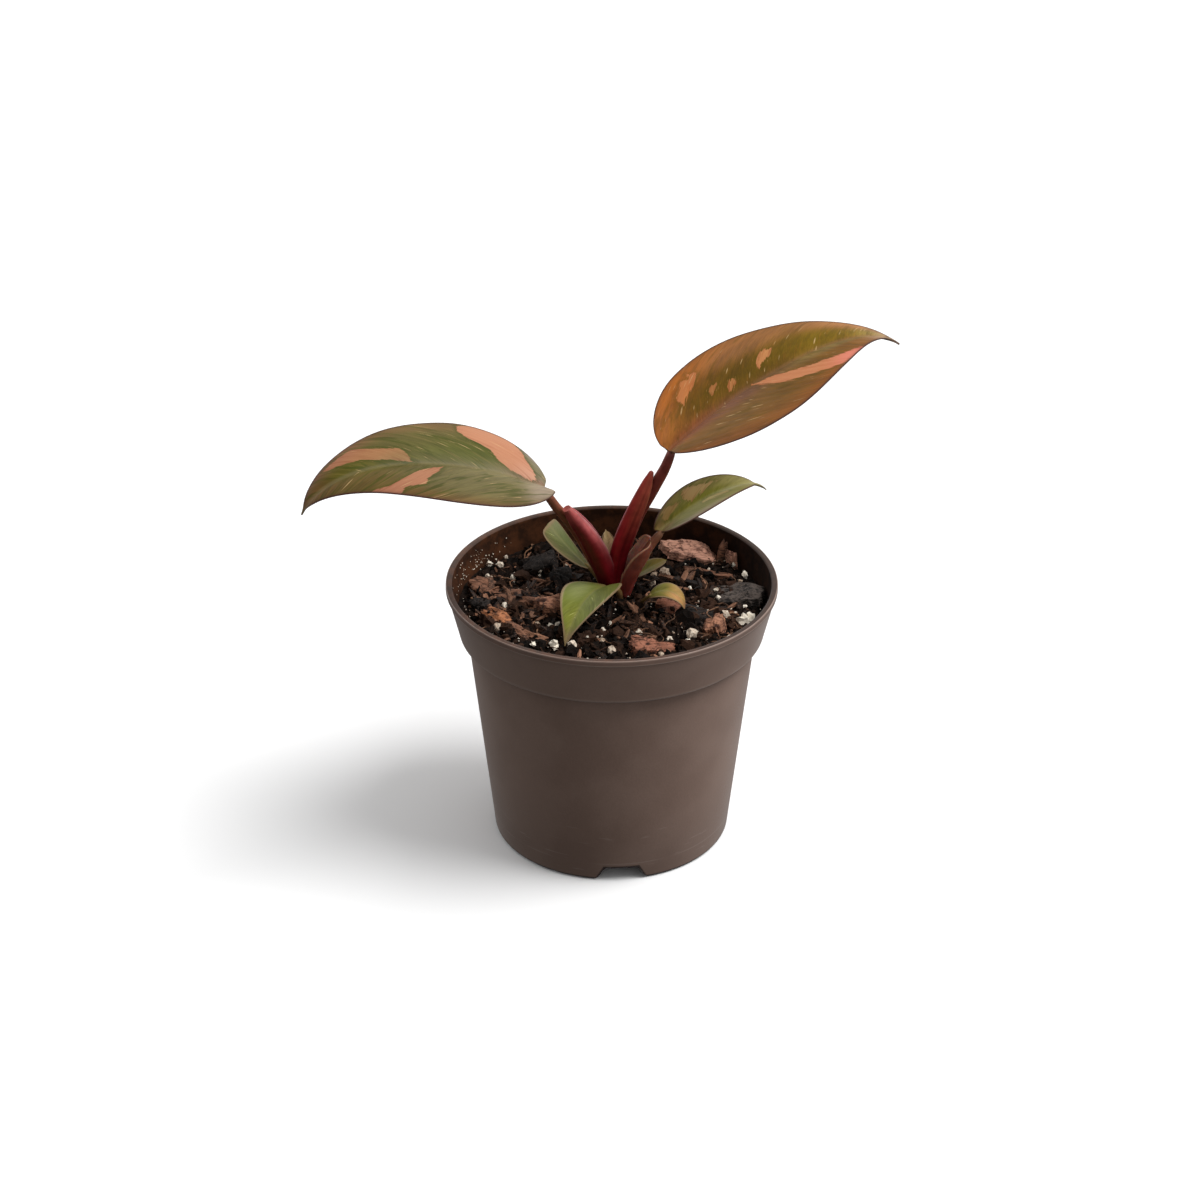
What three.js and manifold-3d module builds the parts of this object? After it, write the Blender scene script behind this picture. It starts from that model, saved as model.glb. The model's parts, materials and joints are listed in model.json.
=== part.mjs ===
// A young orange-variegated philodendron in a 4 inch plastic nursery pot.
// Millimetres, +Z up. The origin is the middle of the pot's underside, and the front of the pot faces -Y.
import * as THREE from "three";
import { mergeVertices } from "three/addons/utils/BufferGeometryUtils.js";
import Module from "manifold-3d";

const wasm = await Module();
wasm.setup();

// Driving dimensions
const GAP = 0.3; // air left between pieces that touch on the real plant

const POT = {
  height: 86,
  rimRadius: 51,
  beadHeight: 2.2,
  collarTopRadius: 50.2,
  collarFootRadius: 47.1,
  collarHeight: 16.2,
  stepHeight: 1.5,
  bodyTopRadius: 44.5,
  baseRadius: 37,
  wall: 1.2,
  footWidth: 1.6,
  footBevel: 0.7,
  floorUnderside: 4.4,
  segments: 60,
};
const NOTCH = { count: 3, first: -85.5, bottomWidth: 15.2, topWidth: 9.2, height: 3.5, corner: 0.8 };
const DRAIN = { middleRadius: 4, radius: 3, ringRadius: 24, count: 6, sides: 20 };

const MIX = {
  level: 77.7, fallToBack: 0.03, shoulderDrop: 2.6, roughness: 1.5,
  segments: 36, rings: 9, seed: 11,
};
const CRUMBS = {
  splinters: 24,
  splinterLength: [4, 8],
  splinterRadius: [0.8, 1.4],
  grains: 14,
  grainRadius: [0.9, 1.7],
  fieldRadius: 42,
};
const CHIP_SHAPE = { cornerCut: 0.5, topTaper: 0.18, jitter: [0.16, 0.2, 0.34] };

const STEM = {
  x: 0.9, y: 5.6, bottom: 62, top: 82.5,
  neckRadius: 4.4, stubRadius: 3.2, rootLength: 3, neckLength: 8, domeHeight: 3,
};

const BLADE_THICKNESS = 0.7;
const MARGIN_HALF_WIDTH = 0.4; // half width that a blade keeps at its very tip and base
const LOBE_ONSET = 0.12; // share of the width, out from the midrib, over which the basal lobes reach back
const MIDRIB = { height: 0.8, halfWidth: 1.4 };
const DRIP_TIP = 0.35; // extra width that draws the tip out into a point

// A blade is set by where its midrib starts, how it runs (degrees: heading in plan, its sweep, the
// rise at the base, the arch along it and the hook at its tip), how it turns (roll, twist) and how
// its left and right halves fold up from the midrib and curl down to the margin.
const BLADES = {
  left: {
    base: [-19.9, -10.5, 123], length: 80.5, width: 39, heading: 191.5, sweep: 17,
    rise: 27.5, arch: 36, hook: 53, roll: -2.5, twist: -3,
    fold: [5, 31], curl: [23, 38], fullness: 1.73, widest: 0.38, lobes: [6, 2.5], tip: 0.08,
    rows: 20, columns: 5,
  },
  right: {
    base: [17, -0.6, 130.2], length: 91.5, width: 49, heading: 38.5, sweep: -11,
    rise: 26.5, arch: 22, hook: 45.5, roll: 4, twist: 10,
    fold: [4, 17.5], curl: [13.5, 8.5], fullness: 1.88, widest: 0.36, lobes: [1.2, 2.6], tip: 0.04,
    rows: 20, columns: 5,
  },
  small: {
    base: [14.9, -0.4, 102.9], length: 39.2, width: 18, heading: 25.5, sweep: -2.5,
    rise: 36.5, arch: 38, hook: 51, roll: 0, twist: 1.5,
    fold: [16, 18.5], curl: [15, 10.5], fullness: 1.41, widest: 0.45, lobes: [2.3, 0], tip: 0.13,
    rows: 14, columns: 4,
  },
  youngBack: {
    base: [-7, 12, 83.9], length: 20, width: 13, heading: 164, sweep: -8,
    rise: 39.5, arch: -9, hook: 0, roll: 4, twist: -2,
    fold: [4.5, -1], curl: [12.5, 15], fullness: 0.85, widest: 0.62, lobes: [0.3, 0.3], tip: 0,
    rows: 9, columns: 4,
  },
  youngFront: {
    base: [3.2, 0.2, 83.7], length: 37.5, width: 19, heading: 234.5, sweep: 10.5,
    rise: 32, arch: 77, hook: 3, roll: 8.5, twist: -2,
    fold: [14.5, 11.5], curl: [1, 11], fullness: 2, widest: 0.36, lobes: [0.5, 0.5], tip: 0.04,
    rows: 13, columns: 4,
  },
  youngRight: {
    base: [11.5, -8, 84.6], length: 16, width: 8.3, heading: -8, sweep: 3,
    rise: 52.5, arch: 152, hook: 0, roll: 0, twist: 2,
    fold: [10, 10], curl: [16, 18.5], fullness: 1.25, widest: 0.42, lobes: [0.4, 0], tip: 0.04,
    rows: 10, columns: 3,
  },
  youngHidden: {
    base: [7.4, 6.6, 83.6], length: 12, width: 7.5, heading: 23, sweep: 4,
    rise: 28, arch: 20, hook: 0, roll: -6, twist: 2,
    fold: [15, 15.5], curl: [10, 10], fullness: 1.15, widest: 0.46, lobes: [0, 0.4], tip: 0.04,
    rows: 7, columns: 3,
  },
  scale: {
    base: [-0.4, 10, 83.6], length: 13.5, width: 6, heading: 120, sweep: 0,
    rise: 84, arch: 12, hook: 0, roll: 0, twist: 0,
    fold: [14, 14], curl: [8, 8], fullness: 1.2, widest: 0.4, lobes: [0, 0], tip: 0.04,
    rows: 7, columns: 3,
  },
};

// Stalks and sheaths follow a curve through a few points, with their radius at even steps along it.
const STALKS = {
  left: {
    route: [[-1.2, 6.6, 78.5], [-3.3, 5.5, 84.2], [-6.7, 3, 91.2], [-10.2, 0, 99.2],
      [-13.9, -3.5, 107], [-16.6, -7, 114], [-19.3, -10, 121.6]],
    radii: [1.9, 1.8, 1.7, 1.5, 1.2],
  },
  right: {
    route: [[1.8, 7.6, 78.5], [2.8, 6.8, 88], [4.9, 5.8, 97], [8.5, 4.6, 107],
      [12.2, 3, 115.5], [14.9, 1.4, 122], [17, -0.3, 129.4]],
    radii: [2, 1.9, 1.8, 1.6, 1.2],
  },
  small: {
    route: [[3.4, 4.2, 78.5], [5, 3.6, 84], [8, 2, 90.6], [11, 0.7, 96.4], [14.4, -0.3, 102.2]],
    radii: [2, 1.8, 1.5, 1.2, 1],
  },
  youngBack: { route: [[-1.8, 8.6, 75.6], [-3.9, 10.4, 80.4], [-6.8, 11.9, 83.9]], radii: [0.9, 0.8, 0.7] },
  youngFront: { route: [[2.2, 2.2, 77.5], [2.6, 1.6, 80.6], [3.1, 0.3, 83.6]], radii: [1.3, 1.1, 0.8] },
  youngRight: { route: [[8.6, -1.2, 73.5], [9.2, -3, 79.5], [11.3, -7.8, 84.5]], radii: [0.8, 0.6, 0.5] },
  youngHidden: { route: [[4.2, 7.6, 78], [5.6, 7, 81.2], [7.2, 6.6, 83.4]], radii: [0.9, 0.8, 0.7] },
  scale: { route: [[0.4, 9, 78], [0, 9.6, 81], [-0.4, 10, 83.8]], radii: [1.4, 1.3, 0.9] },
};
const SHEATHS = {
  tall: {
    route: [[1, 3.9, 79], [1.4, 3.4, 86], [2.9, 2.4, 95.4],
      [5.7, 1.4, 105.1], [9.1, 0.5, 115], [11.8, 1.2, 123]],
    radii: [2.8, 3.1, 3.4, 3.1, 2.1, 0.35],
    depth: 0.82,
  },
  short: {
    route: [[-0.6, 3.4, 79], [-1.6, 2.6, 87], [-3.8, 0.8, 95.4],
      [-6.9, -2, 103.2], [-10.2, -5, 109.6], [-13.2, -7.8, 114.6]],
    radii: [2.6, 3.1, 3.5, 3.3, 2.7, 1.3],
    depth: 0.85,
  },
};
const HOOD = {
  route: [[3.8, 3.6, 79.5], [5.4, 2.9, 86], [7.6, 1.9, 92], [9.7, 1, 97], [11.2, 0.4, 100.4]],
  radii: [2.2, 2.7, 2.9, 2.4, 1],
  depth: 0.9,
};
// The hood's hollow breaks out through its side, on the way that the mouth faces.
const HOLLOW = {
  route: [[5.6, 2.8, 87], [7.6, 1.9, 92], [9.7, 1, 97], [10.9, 0.5, 99.6]],
  radii: [0.5, 2.1, 1.9, 0.6],
  mouth: [-0.74, -0.45, 0.5],
  offset: 1.5,
};

// Large bark pieces and twigs: place in plan, length, width and height, degrees about Z and of tilt,
// and how deep each sits in the mix.
const CHIPS = [
  { name: "bark_tan_back", at: [24, 32.6], size: [15, 8.4, 3.6], turn: 4, tilt: 14,
    sunk: 1.2, colour: 0x9c6a55 },
  { name: "bark_dark_right", at: [40, 3.2], size: [13, 11.5, 4.6], turn: -25, tilt: -12,
    sunk: 1.6, colour: 0x3a3634 },
  { name: "bark_red_front", at: [12, -31], size: [11.5, 8, 5.4], turn: 5, tilt: 8,
    sunk: 2, colour: 0x8a5140 },
  { name: "bark_red_right", at: [31.4, -17.6], size: [5.6, 9, 5.6], turn: -12, tilt: -20,
    sunk: 1.8, colour: 0x85543e },
  { name: "bark_red_middle", at: [18.6, -3.4], size: [8.6, 7.2, 4], turn: -35, tilt: 12,
    sunk: 1.4, colour: 0x83503f },
  { name: "bark_red_left", at: [-18.6, -5], size: [8, 8.4, 4.4], turn: 20, tilt: 10,
    sunk: 1.6, colour: 0x7a4a36 },
  { name: "bark_slab_outer", at: [-38.4, 8.6], size: [12, 7, 2.8], turn: -28, tilt: 10,
    sunk: 1, colour: 0x6a4434 },
  { name: "bark_slab_inner", at: [-28.8, 0.6], size: [13, 6.4, 2.8], turn: -38, tilt: -8,
    sunk: 1, colour: 0x5c3d30 },
  { name: "bark_orange_left", at: [-35.2, -11.2], size: [8.4, 4.6, 3.2], turn: -30, tilt: 8,
    sunk: 1.2, colour: 0x94583a },
  { name: "bark_strip_left", at: [-28.4, -19.8], size: [12, 3.6, 2.2], turn: -48, tilt: 3,
    sunk: 0.8, colour: 0x40322c },
  { name: "bark_lump_back", at: [-23, 25], size: [9.5, 8, 5.2], turn: 15, tilt: -14,
    sunk: 2, colour: 0x2b2523 },
  { name: "bark_lump_inner", at: [-15.4, 15], size: [7.6, 6, 4.2], turn: -30, tilt: 16,
    sunk: 1.6, colour: 0x2e2724 },
  { name: "bark_flat_front", at: [28, -8.6], size: [11, 6, 2.6], turn: -14, tilt: 4,
    sunk: 1, colour: 0x352d2a },
  { name: "bark_dark_left", at: [-40.6, -1.6], size: [6.4, 6, 3.4], turn: 40, tilt: 8,
    sunk: 1.2, colour: 0x3b2f2a },
  { name: "twig_right", at: [30.4, 20.4], size: [14.5, 2.2, 1.8], turn: -14, tilt: 4,
    sunk: 0.6, colour: 0x4b3228 },
  { name: "bark_sliver_tall", at: [35, 30.6], size: [2.4, 1.9, 9], turn: 20, tilt: 12,
    sunk: 2.4, colour: 0x5b4034 },
  { name: "bark_sliver_short", at: [38.4, 26.4], size: [3, 1.8, 7], turn: -20, tilt: -14,
    sunk: 2.2, colour: 0x6a4b3d },
];

// Materials
const finish = (color, roughness) => new THREE.MeshStandardMaterial({ color, roughness, metalness: 0 });
const PLASTIC = finish(0x60504a, 0.5);
const SOIL = finish(0x2a201b, 0.95);
const STALK_RED = finish(0x6b3526, 0.5);
const SHEATH_RED = finish(0x78141e, 0.4);
const LEAF_GREEN = finish(0x6e733c, 0.4);
const LEAF_ORANGE = finish(0x96602e, 0.4);
const LEAF_YOUNG = finish(0x73823f, 0.45);
const LEAF_PALE = finish(0xa8906f, 0.5);

// Small helpers
function seeded(seed) {
  let state = seed >>> 0;
  return () => {
    state = (Math.imul(state, 1664525) + 1013904223) >>> 0;
    return state / 4294967296;
  };
}
const radians = THREE.MathUtils.degToRad;
const mix = (a, b, share) => a + (b - a) * share;
function smooth(x) {
  const u = THREE.MathUtils.clamp(x, 0, 1);
  return u * u * (3 - 2 * u);
}
// Value at share t of the way along evenly spaced samples.
function along(samples, t) {
  const place = t * (samples.length - 1);
  const low = Math.min(Math.floor(place), samples.length - 2);
  return mix(samples[low], samples[low + 1], smooth(place - low));
}

// Closed geometry to a solid, and a solid back to a named mesh
function toSolid(geometry) {
  const bare = geometry.clone();
  bare.deleteAttribute("normal");
  bare.deleteAttribute("uv");
  const merged = mergeVertices(bare, 1e-4);
  return new wasm.Manifold(
    new wasm.Mesh({
      numProp: 3,
      vertProperties: merged.attributes.position.array,
      triVerts: new Uint32Array(merged.index.array),
    }),
  );
}
// Scraps that a cut leaves loose are dropped: the largest body is kept.
function largest(solid) {
  return solid.decompose().reduce((a, b) => (a.volume() > b.volume() ? a : b));
}
function toMesh(name, solid, material) {
  const made = largest(solid).getMesh();
  const geometry = new THREE.BufferGeometry();
  const positions = new Float32Array(made.vertProperties);
  geometry.setAttribute("position", new THREE.BufferAttribute(positions, 3));
  geometry.setIndex(new THREE.BufferAttribute(new Uint32Array(made.triVerts), 1));
  geometry.computeVertexNormals();
  const mesh = new THREE.Mesh(geometry, material);
  mesh.name = name;
  return mesh;
}
function bend(geometry, place) {
  const position = geometry.attributes.position;
  const point = new THREE.Vector3();
  for (let i = 0; i < position.count; i++) {
    place(point.fromBufferAttribute(position, i));
    position.setXYZ(i, point.x, point.y, point.z);
  }
  return geometry;
}
// The same for every copy of a corner that several faces share.
const placeKey = (p) => [p.x, p.y, p.z].map((value) => Math.round(value * 100) || 0).join();
const turned = (profile, segments) =>
  new THREE.LatheGeometry(profile.map(([r, z]) => new THREE.Vector2(r, z)), segments).rotateX(Math.PI / 2);

// Pot
const collarFootHeight = POT.height - POT.collarHeight;
const bodyTopHeight = collarFootHeight - POT.stepHeight;
const beadFootHeight = POT.height - POT.beadHeight;
const floorTop = POT.floorUnderside + POT.wall;
const bodyRadius = (z) => mix(POT.baseRadius, POT.bodyTopRadius, z / bodyTopHeight);
// Inner radius of the pot at a height above its floor.
function innerRadius(z) {
  if (z < bodyTopHeight) return bodyRadius(z) - POT.wall;
  const up = (z - collarFootHeight) / (beadFootHeight - collarFootHeight);
  return mix(POT.collarFootRadius, POT.collarTopRadius, Math.max(up, 0)) - POT.wall;
}
// Lower outline of the room inside the pot, with the gap left to the plastic.
const cavityProfile = [
  [0, floorTop + GAP],
  [innerRadius(floorTop) - GAP, floorTop + GAP],
  [POT.bodyTopRadius - POT.wall - GAP, bodyTopHeight],
  [POT.collarFootRadius - POT.wall - GAP, collarFootHeight + GAP],
];
function cavity() {
  const above = POT.height * 2;
  const lipRadius = POT.collarTopRadius - POT.wall - GAP;
  const profile = [...cavityProfile, [lipRadius, beadFootHeight], [lipRadius, above], [0, above]];
  return toSolid(turned(profile, POT.segments));
}

function pot() {
  const { wall, height, rimRadius, collarTopRadius, footBevel, floorUnderside } = POT;
  const footInner = POT.baseRadius - footBevel - POT.footWidth;
  const lipInner = collarTopRadius - wall;
  const profile = [
    [0, floorUnderside],
    [footInner, floorUnderside],
    [footInner, 0],
    [POT.baseRadius - footBevel, 0],
    [bodyRadius(footBevel), footBevel],
    [POT.bodyTopRadius, bodyTopHeight],
    [POT.collarFootRadius, collarFootHeight],
    [collarTopRadius, beadFootHeight],
    [rimRadius, beadFootHeight + 0.4],
    [rimRadius, height - 0.5],
    [rimRadius - 0.5, height],
    [lipInner + 0.4, height],
    [lipInner, height - 0.4],
    [lipInner, beadFootHeight],
    [POT.collarFootRadius - wall, collarFootHeight],
    [POT.bodyTopRadius - wall, bodyTopHeight],
    [bodyRadius(floorTop) - wall, floorTop],
    [0, floorTop],
  ];
  let body = toSolid(turned(profile, POT.segments));
  for (let i = 0; i < NOTCH.count; i++) {
    body = body.subtract(notch(NOTCH.first + (360 / NOTCH.count) * i));
  }
  body = body.subtract(drainHole(0, 0, DRAIN.middleRadius));
  for (let i = 0; i < DRAIN.count; i++) {
    const angle = (i / DRAIN.count) * 2 * Math.PI;
    const x = Math.cos(angle) * DRAIN.ringRadius;
    const y = Math.sin(angle) * DRAIN.ringRadius;
    body = body.subtract(drainHole(x, y, DRAIN.radius));
  }
  return body;
}
// Water outlet in the foot ring, cut radially at an angle in plan.
function notch(degrees) {
  const { bottomWidth, topWidth, height, corner } = NOTCH;
  const halfTop = topWidth / 2;
  const halfBottom = bottomWidth / 2;
  const below = 1;
  const outline = [
    [-halfBottom - corner, -below], [-halfBottom - corner, 0], [-halfBottom, corner], [-halfTop, height],
    [halfTop, height], [halfBottom, corner], [halfBottom + corner, 0], [halfBottom + corner, -below],
  ];
  const shape = new THREE.Shape(outline.map(([x, y]) => new THREE.Vector2(x, y)));
  const reach = 12;
  return toSolid(
    new THREE.ExtrudeGeometry(shape, { depth: reach, bevelEnabled: false })
      .rotateX(Math.PI / 2)
      .translate(0, -POT.baseRadius + reach / 2 + reach / 4, 0)
      .rotateZ(radians(degrees + 90)),
  );
}
function drainHole(x, y, radius) {
  const depth = POT.wall + 2;
  const hole = new THREE.CylinderGeometry(radius, radius, depth, DRAIN.sides).rotateX(Math.PI / 2);
  return toSolid(hole.translate(x, y, floorTop - POT.wall / 2));
}

// Potting mix
function mixTop(x, y) {
  const broad = 0.55 * Math.sin(0.21 * x + 0.6) * Math.cos(0.17 * y - 0.4);
  const narrow = 0.45 * Math.sin(0.43 * x - 0.36 * y + 1.1);
  return MIX.level - MIX.fallToBack * y + broad + narrow;
}
function pottingMix() {
  const shoulder = MIX.level - MIX.shoulderDrop;
  const wallRadius = innerRadius(shoulder) - GAP;
  const profile = [...cavityProfile, [wallRadius, shoulder]];
  for (let ring = 0; ring <= MIX.rings; ring++) {
    profile.push([wallRadius * (1 - ring / MIX.rings), MIX.level]);
  }
  const random = seeded(MIX.seed);
  const roughness = new Map();
  const surface = bend(turned(profile, MIX.segments), (p) => {
    if (p.z < MIX.level - 0.01) return;
    const key = placeKey(p);
    if (!roughness.has(key)) roughness.set(key, (random() - 0.5) * MIX.roughness);
    p.z = mixTop(p.x, p.y) + roughness.get(key);
  });
  return toSolid(surface);
}
// Splinters of bark and grains of perlite, each with its root in the mix.
function crumbs() {
  const random = seeded(MIX.seed + 1);
  const made = [];
  for (let i = 0; i < CRUMBS.splinters + CRUMBS.grains; i++) {
    const angle = random() * 2 * Math.PI;
    const radius = Math.sqrt(random()) * CRUMBS.fieldRadius;
    const x = Math.cos(angle) * radius;
    const y = Math.sin(angle) * radius;
    const isGrain = i >= CRUMBS.splinters;
    const across = mix(...(isGrain ? CRUMBS.grainRadius : CRUMBS.splinterRadius), random());
    const length = isGrain ? across * 1.6 : mix(...CRUMBS.splinterLength, random());
    const piece = new THREE.CylinderGeometry(across * 0.8, across, length, 4)
      .rotateX(isGrain ? 0 : Math.PI / 2)
      .rotateY((random() - 0.5) * 0.7)
      .rotateZ(random() * Math.PI)
      .translate(x, y, mixTop(x, y) + across * 0.3);
    made.push(toSolid(piece));
  }
  return made;
}

// Bark pieces: boxes with jittered corners, so that no two faces are square.
function chip({ at, size, turn, tilt, sunk }, index, grow = 0) {
  const random = seeded(100 + index);
  const [length, width, height] = size;
  const jitter = new Map();
  const { cornerCut, topTaper, jitter: reach } = CHIP_SHAPE;
  const rough = bend(new THREE.BoxGeometry(1, 1, 1, 3, 2, 1), (p) => {
    const key = placeKey(p);
    if (!jitter.has(key)) jitter.set(key, reach.map((most) => (random() - 0.5) * most));
    const [jx, jy, jz] = jitter.get(key);
    const narrow = (1 - cornerCut * Math.abs(p.x * p.y)) * (p.z > 0 ? 1 - topTaper : 1);
    p.set(p.x * narrow + jx, p.y * narrow + jy, p.z + jz);
    p.multiply(new THREE.Vector3(length + 2 * grow, width + 2 * grow, height + 2 * grow));
  });
  const z = mixTop(at[0], at[1]) + height / 2 - sunk;
  return toSolid(rough.rotateY(radians(tilt)).rotateZ(radians(turn)).translate(at[0], at[1], z));
}

// Stalks and sheaths: a cylinder bent along a curve. Its width runs across the plane of the curve.
function rod({ route, radii, depth = 1 }, { sides = 8, steps = 10, grow = 0, across = [0, 1, 0] } = {}) {
  const curve = new THREE.CatmullRomCurve3(route.map((p) => new THREE.Vector3(...p)), false, "centripetal");
  const reference = new THREE.Vector3(...across);
  const tangent = new THREE.Vector3();
  const centre = new THREE.Vector3();
  return toSolid(
    bend(new THREE.CylinderGeometry(1, 1, 1, sides, steps), (p) => {
      const t = THREE.MathUtils.clamp(p.y + 0.5, 0, 1);
      curve.getPointAt(t, centre);
      curve.getTangentAt(t, tangent);
      const side = new THREE.Vector3().crossVectors(tangent, reference).normalize();
      const front = new THREE.Vector3().crossVectors(side, tangent);
      const radius = along(radii, t) + grow;
      centre.addScaledVector(side, p.x * radius);
      centre.addScaledVector(front, p.z * (radius * depth + grow * (1 - depth)));
      centre.addScaledVector(tangent, Math.sign(Math.round(p.y * 2)) * grow);
      p.copy(centre);
    }),
  );
}

// Leaf blades
const bladeShape = (leaf, t) => {
  const rise = leaf.fullness * leaf.widest;
  const fall = leaf.fullness * (1 - leaf.widest);
  const u = THREE.MathUtils.clamp(t / (1 - leaf.tip), 1e-6, 1 - 1e-6);
  const full = (u / leaf.widest) ** rise * ((1 - u) / (1 - leaf.widest)) ** fall;
  return full + DRIP_TIP * t ** 6 * (1 - t);
};
// Frames along the midrib: point, direction, sideways and upwards at each share t of the length.
function midrib(leaf, stations) {
  const direction = (t) => {
    const heading = radians(leaf.heading + leaf.sweep * t);
    const pitch = radians(leaf.rise - leaf.arch * t - leaf.hook * t ** 6);
    return { heading, pitch };
  };
  const point = new THREE.Vector3(...leaf.base);
  const forward = ({ heading, pitch }) => {
    const flat = Math.cos(pitch);
    return new THREE.Vector3(flat * Math.cos(heading), flat * Math.sin(heading), Math.sin(pitch));
  };
  const substeps = 4;
  let reached = 0;
  return stations.map((t) => {
    const step = (t - reached) / substeps;
    for (let k = 0; k < substeps; k++) {
      point.addScaledVector(forward(direction(reached + step * (k + 0.5))), step * leaf.length);
    }
    reached = t;
    const here = direction(t);
    const ahead = forward(here);
    const flatLeft = new THREE.Vector3(-Math.sin(here.heading), Math.cos(here.heading), 0);
    const flatUp = new THREE.Vector3().crossVectors(ahead, flatLeft);
    const roll = radians(leaf.roll + leaf.twist * t);
    const left = flatLeft.clone().multiplyScalar(Math.cos(roll)).addScaledVector(flatUp, Math.sin(roll));
    const up = flatUp.clone().multiplyScalar(Math.cos(roll)).addScaledVector(flatLeft, -Math.sin(roll));
    return { t, point: point.clone(), ahead, left, up };
  });
}
// Upper-face point and face normal at share s of the way to the left (+) or right (-) margin.
function bladePoint(leaf, frame, s) {
  const side = s >= 0 ? 1 : -1;
  const index = s >= 0 ? 0 : 1;
  const reach = Math.abs(s);
  const fold = radians(leaf.fold[index]);
  const curl = radians(leaf.curl[index]);
  const half = MARGIN_HALF_WIDTH + (leaf.width / 2) * bladeShape(leaf, frame.t);
  const lateral = (half * (Math.sin(fold) - Math.sin(fold - curl * reach))) / curl;
  const lift = (half * (Math.cos(fold - curl * reach) - Math.cos(fold))) / curl;
  const back = leaf.lobes[index] * (1 - frame.t) ** 8 * smooth((half * reach) / (LOBE_ONSET * leaf.width));
  const point = frame.point
    .clone()
    .addScaledVector(frame.left, side * lateral)
    .addScaledVector(frame.up, lift)
    .addScaledVector(frame.ahead, -back);
  const lean = reach === 0 ? 0 : fold - curl * reach;
  const normal = frame.up.clone().multiplyScalar(Math.cos(lean));
  normal.addScaledVector(frame.left, -side * Math.sin(lean));
  const rib = MIDRIB.height * (1 - 0.6 * frame.t) * Math.exp(-(((half * reach) / MIDRIB.halfWidth) ** 2));
  return { point, normal, rib };
}
// The two faces carry the same triangles, and a strip round the margin closes them.
function blade(leaf, grow = 0) {
  const { rows, columns } = leaf;
  const stations = Array.from({ length: rows + 1 }, (_, i) => (i / rows) ** 1.3);
  const frames = midrib(leaf, stations);
  const across = 2 * columns + 1;
  const faceCount = frames.length * across;
  const positions = new Float32Array(faceCount * 2 * 3);
  frames.forEach((frame, i) => {
    for (let j = 0; j < across; j++) {
      const { point, normal, rib } = bladePoint(leaf, frame, (j - columns) / columns);
      const top = point.clone().addScaledVector(normal, grow);
      const under = point.clone().addScaledVector(normal, -BLADE_THICKNESS - rib - grow);
      top.toArray(positions, 3 * (i * across + j));
      under.toArray(positions, 3 * (faceCount + i * across + j));
    }
  });
  const index = [];
  const quad = (a, b, c, d) => index.push(a, b, c, a, c, d);
  for (let i = 0; i < rows; i++) {
    for (let j = 0; j < across - 1; j++) {
      const a = i * across + j;
      quad(a, a + across, a + across + 1, a + 1);
      index.push(faceCount + a, faceCount + a + across + 1, faceCount + a + across);
      index.push(faceCount + a, faceCount + a + 1, faceCount + a + across + 1);
    }
    const right = i * across;
    const left = right + across - 1;
    quad(right, faceCount + right, faceCount + right + across, right + across);
    quad(left + across, faceCount + left + across, faceCount + left, left);
  }
  for (let j = 0; j < across - 1; j++) {
    const last = rows * across + j;
    quad(j + 1, faceCount + j + 1, faceCount + j, j);
    quad(last, faceCount + last, faceCount + last + 1, last + 1);
  }
  const geometry = new THREE.BufferGeometry();
  geometry.setAttribute("position", new THREE.BufferAttribute(positions, 3));
  geometry.setIndex(index);
  return toSolid(geometry);
}

// Stalk of the small leaf with its open sheath: a scoop whose hollow breaks out at the mouth.
function hoodedStalk(grow = 0) {
  const style = { sides: 12, steps: 8 };
  const outer = rod(HOOD, { ...style, grow });
  const stalk = rod(STALKS.small, { sides: 8, steps: 8, grow });
  if (grow > 0) return outer.add(stalk);
  const shift = new THREE.Vector3(...HOLLOW.mouth).normalize().multiplyScalar(HOLLOW.offset);
  const route = HOLLOW.route.map((p) => new THREE.Vector3(...p).add(shift).toArray());
  return outer.subtract(rod({ route, radii: HOLLOW.radii }, style)).add(stalk);
}
// A young leaf: its thin stalk runs into the blade, in one piece.
const youngLeaf = (key, grow = 0) =>
  rod(STALKS[key], { sides: 6, steps: 4, grow }).add(blade(BLADES[key], grow));

function stem(grow = 0) {
  const { x, y, bottom, top, neckRadius, stubRadius, rootLength, neckLength, domeHeight } = STEM;
  const profile = [
    [0, bottom - grow],
    [stubRadius * 0.6 + grow, bottom - grow],
    [stubRadius + grow, bottom + rootLength],
    [stubRadius + grow, top - neckLength],
    [neckRadius + grow, top - domeHeight],
    [neckRadius * 0.9 + grow, top + grow],
    [0, top + grow],
  ];
  return toSolid(turned(profile, 18).translate(x, y, 0));
}

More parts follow.
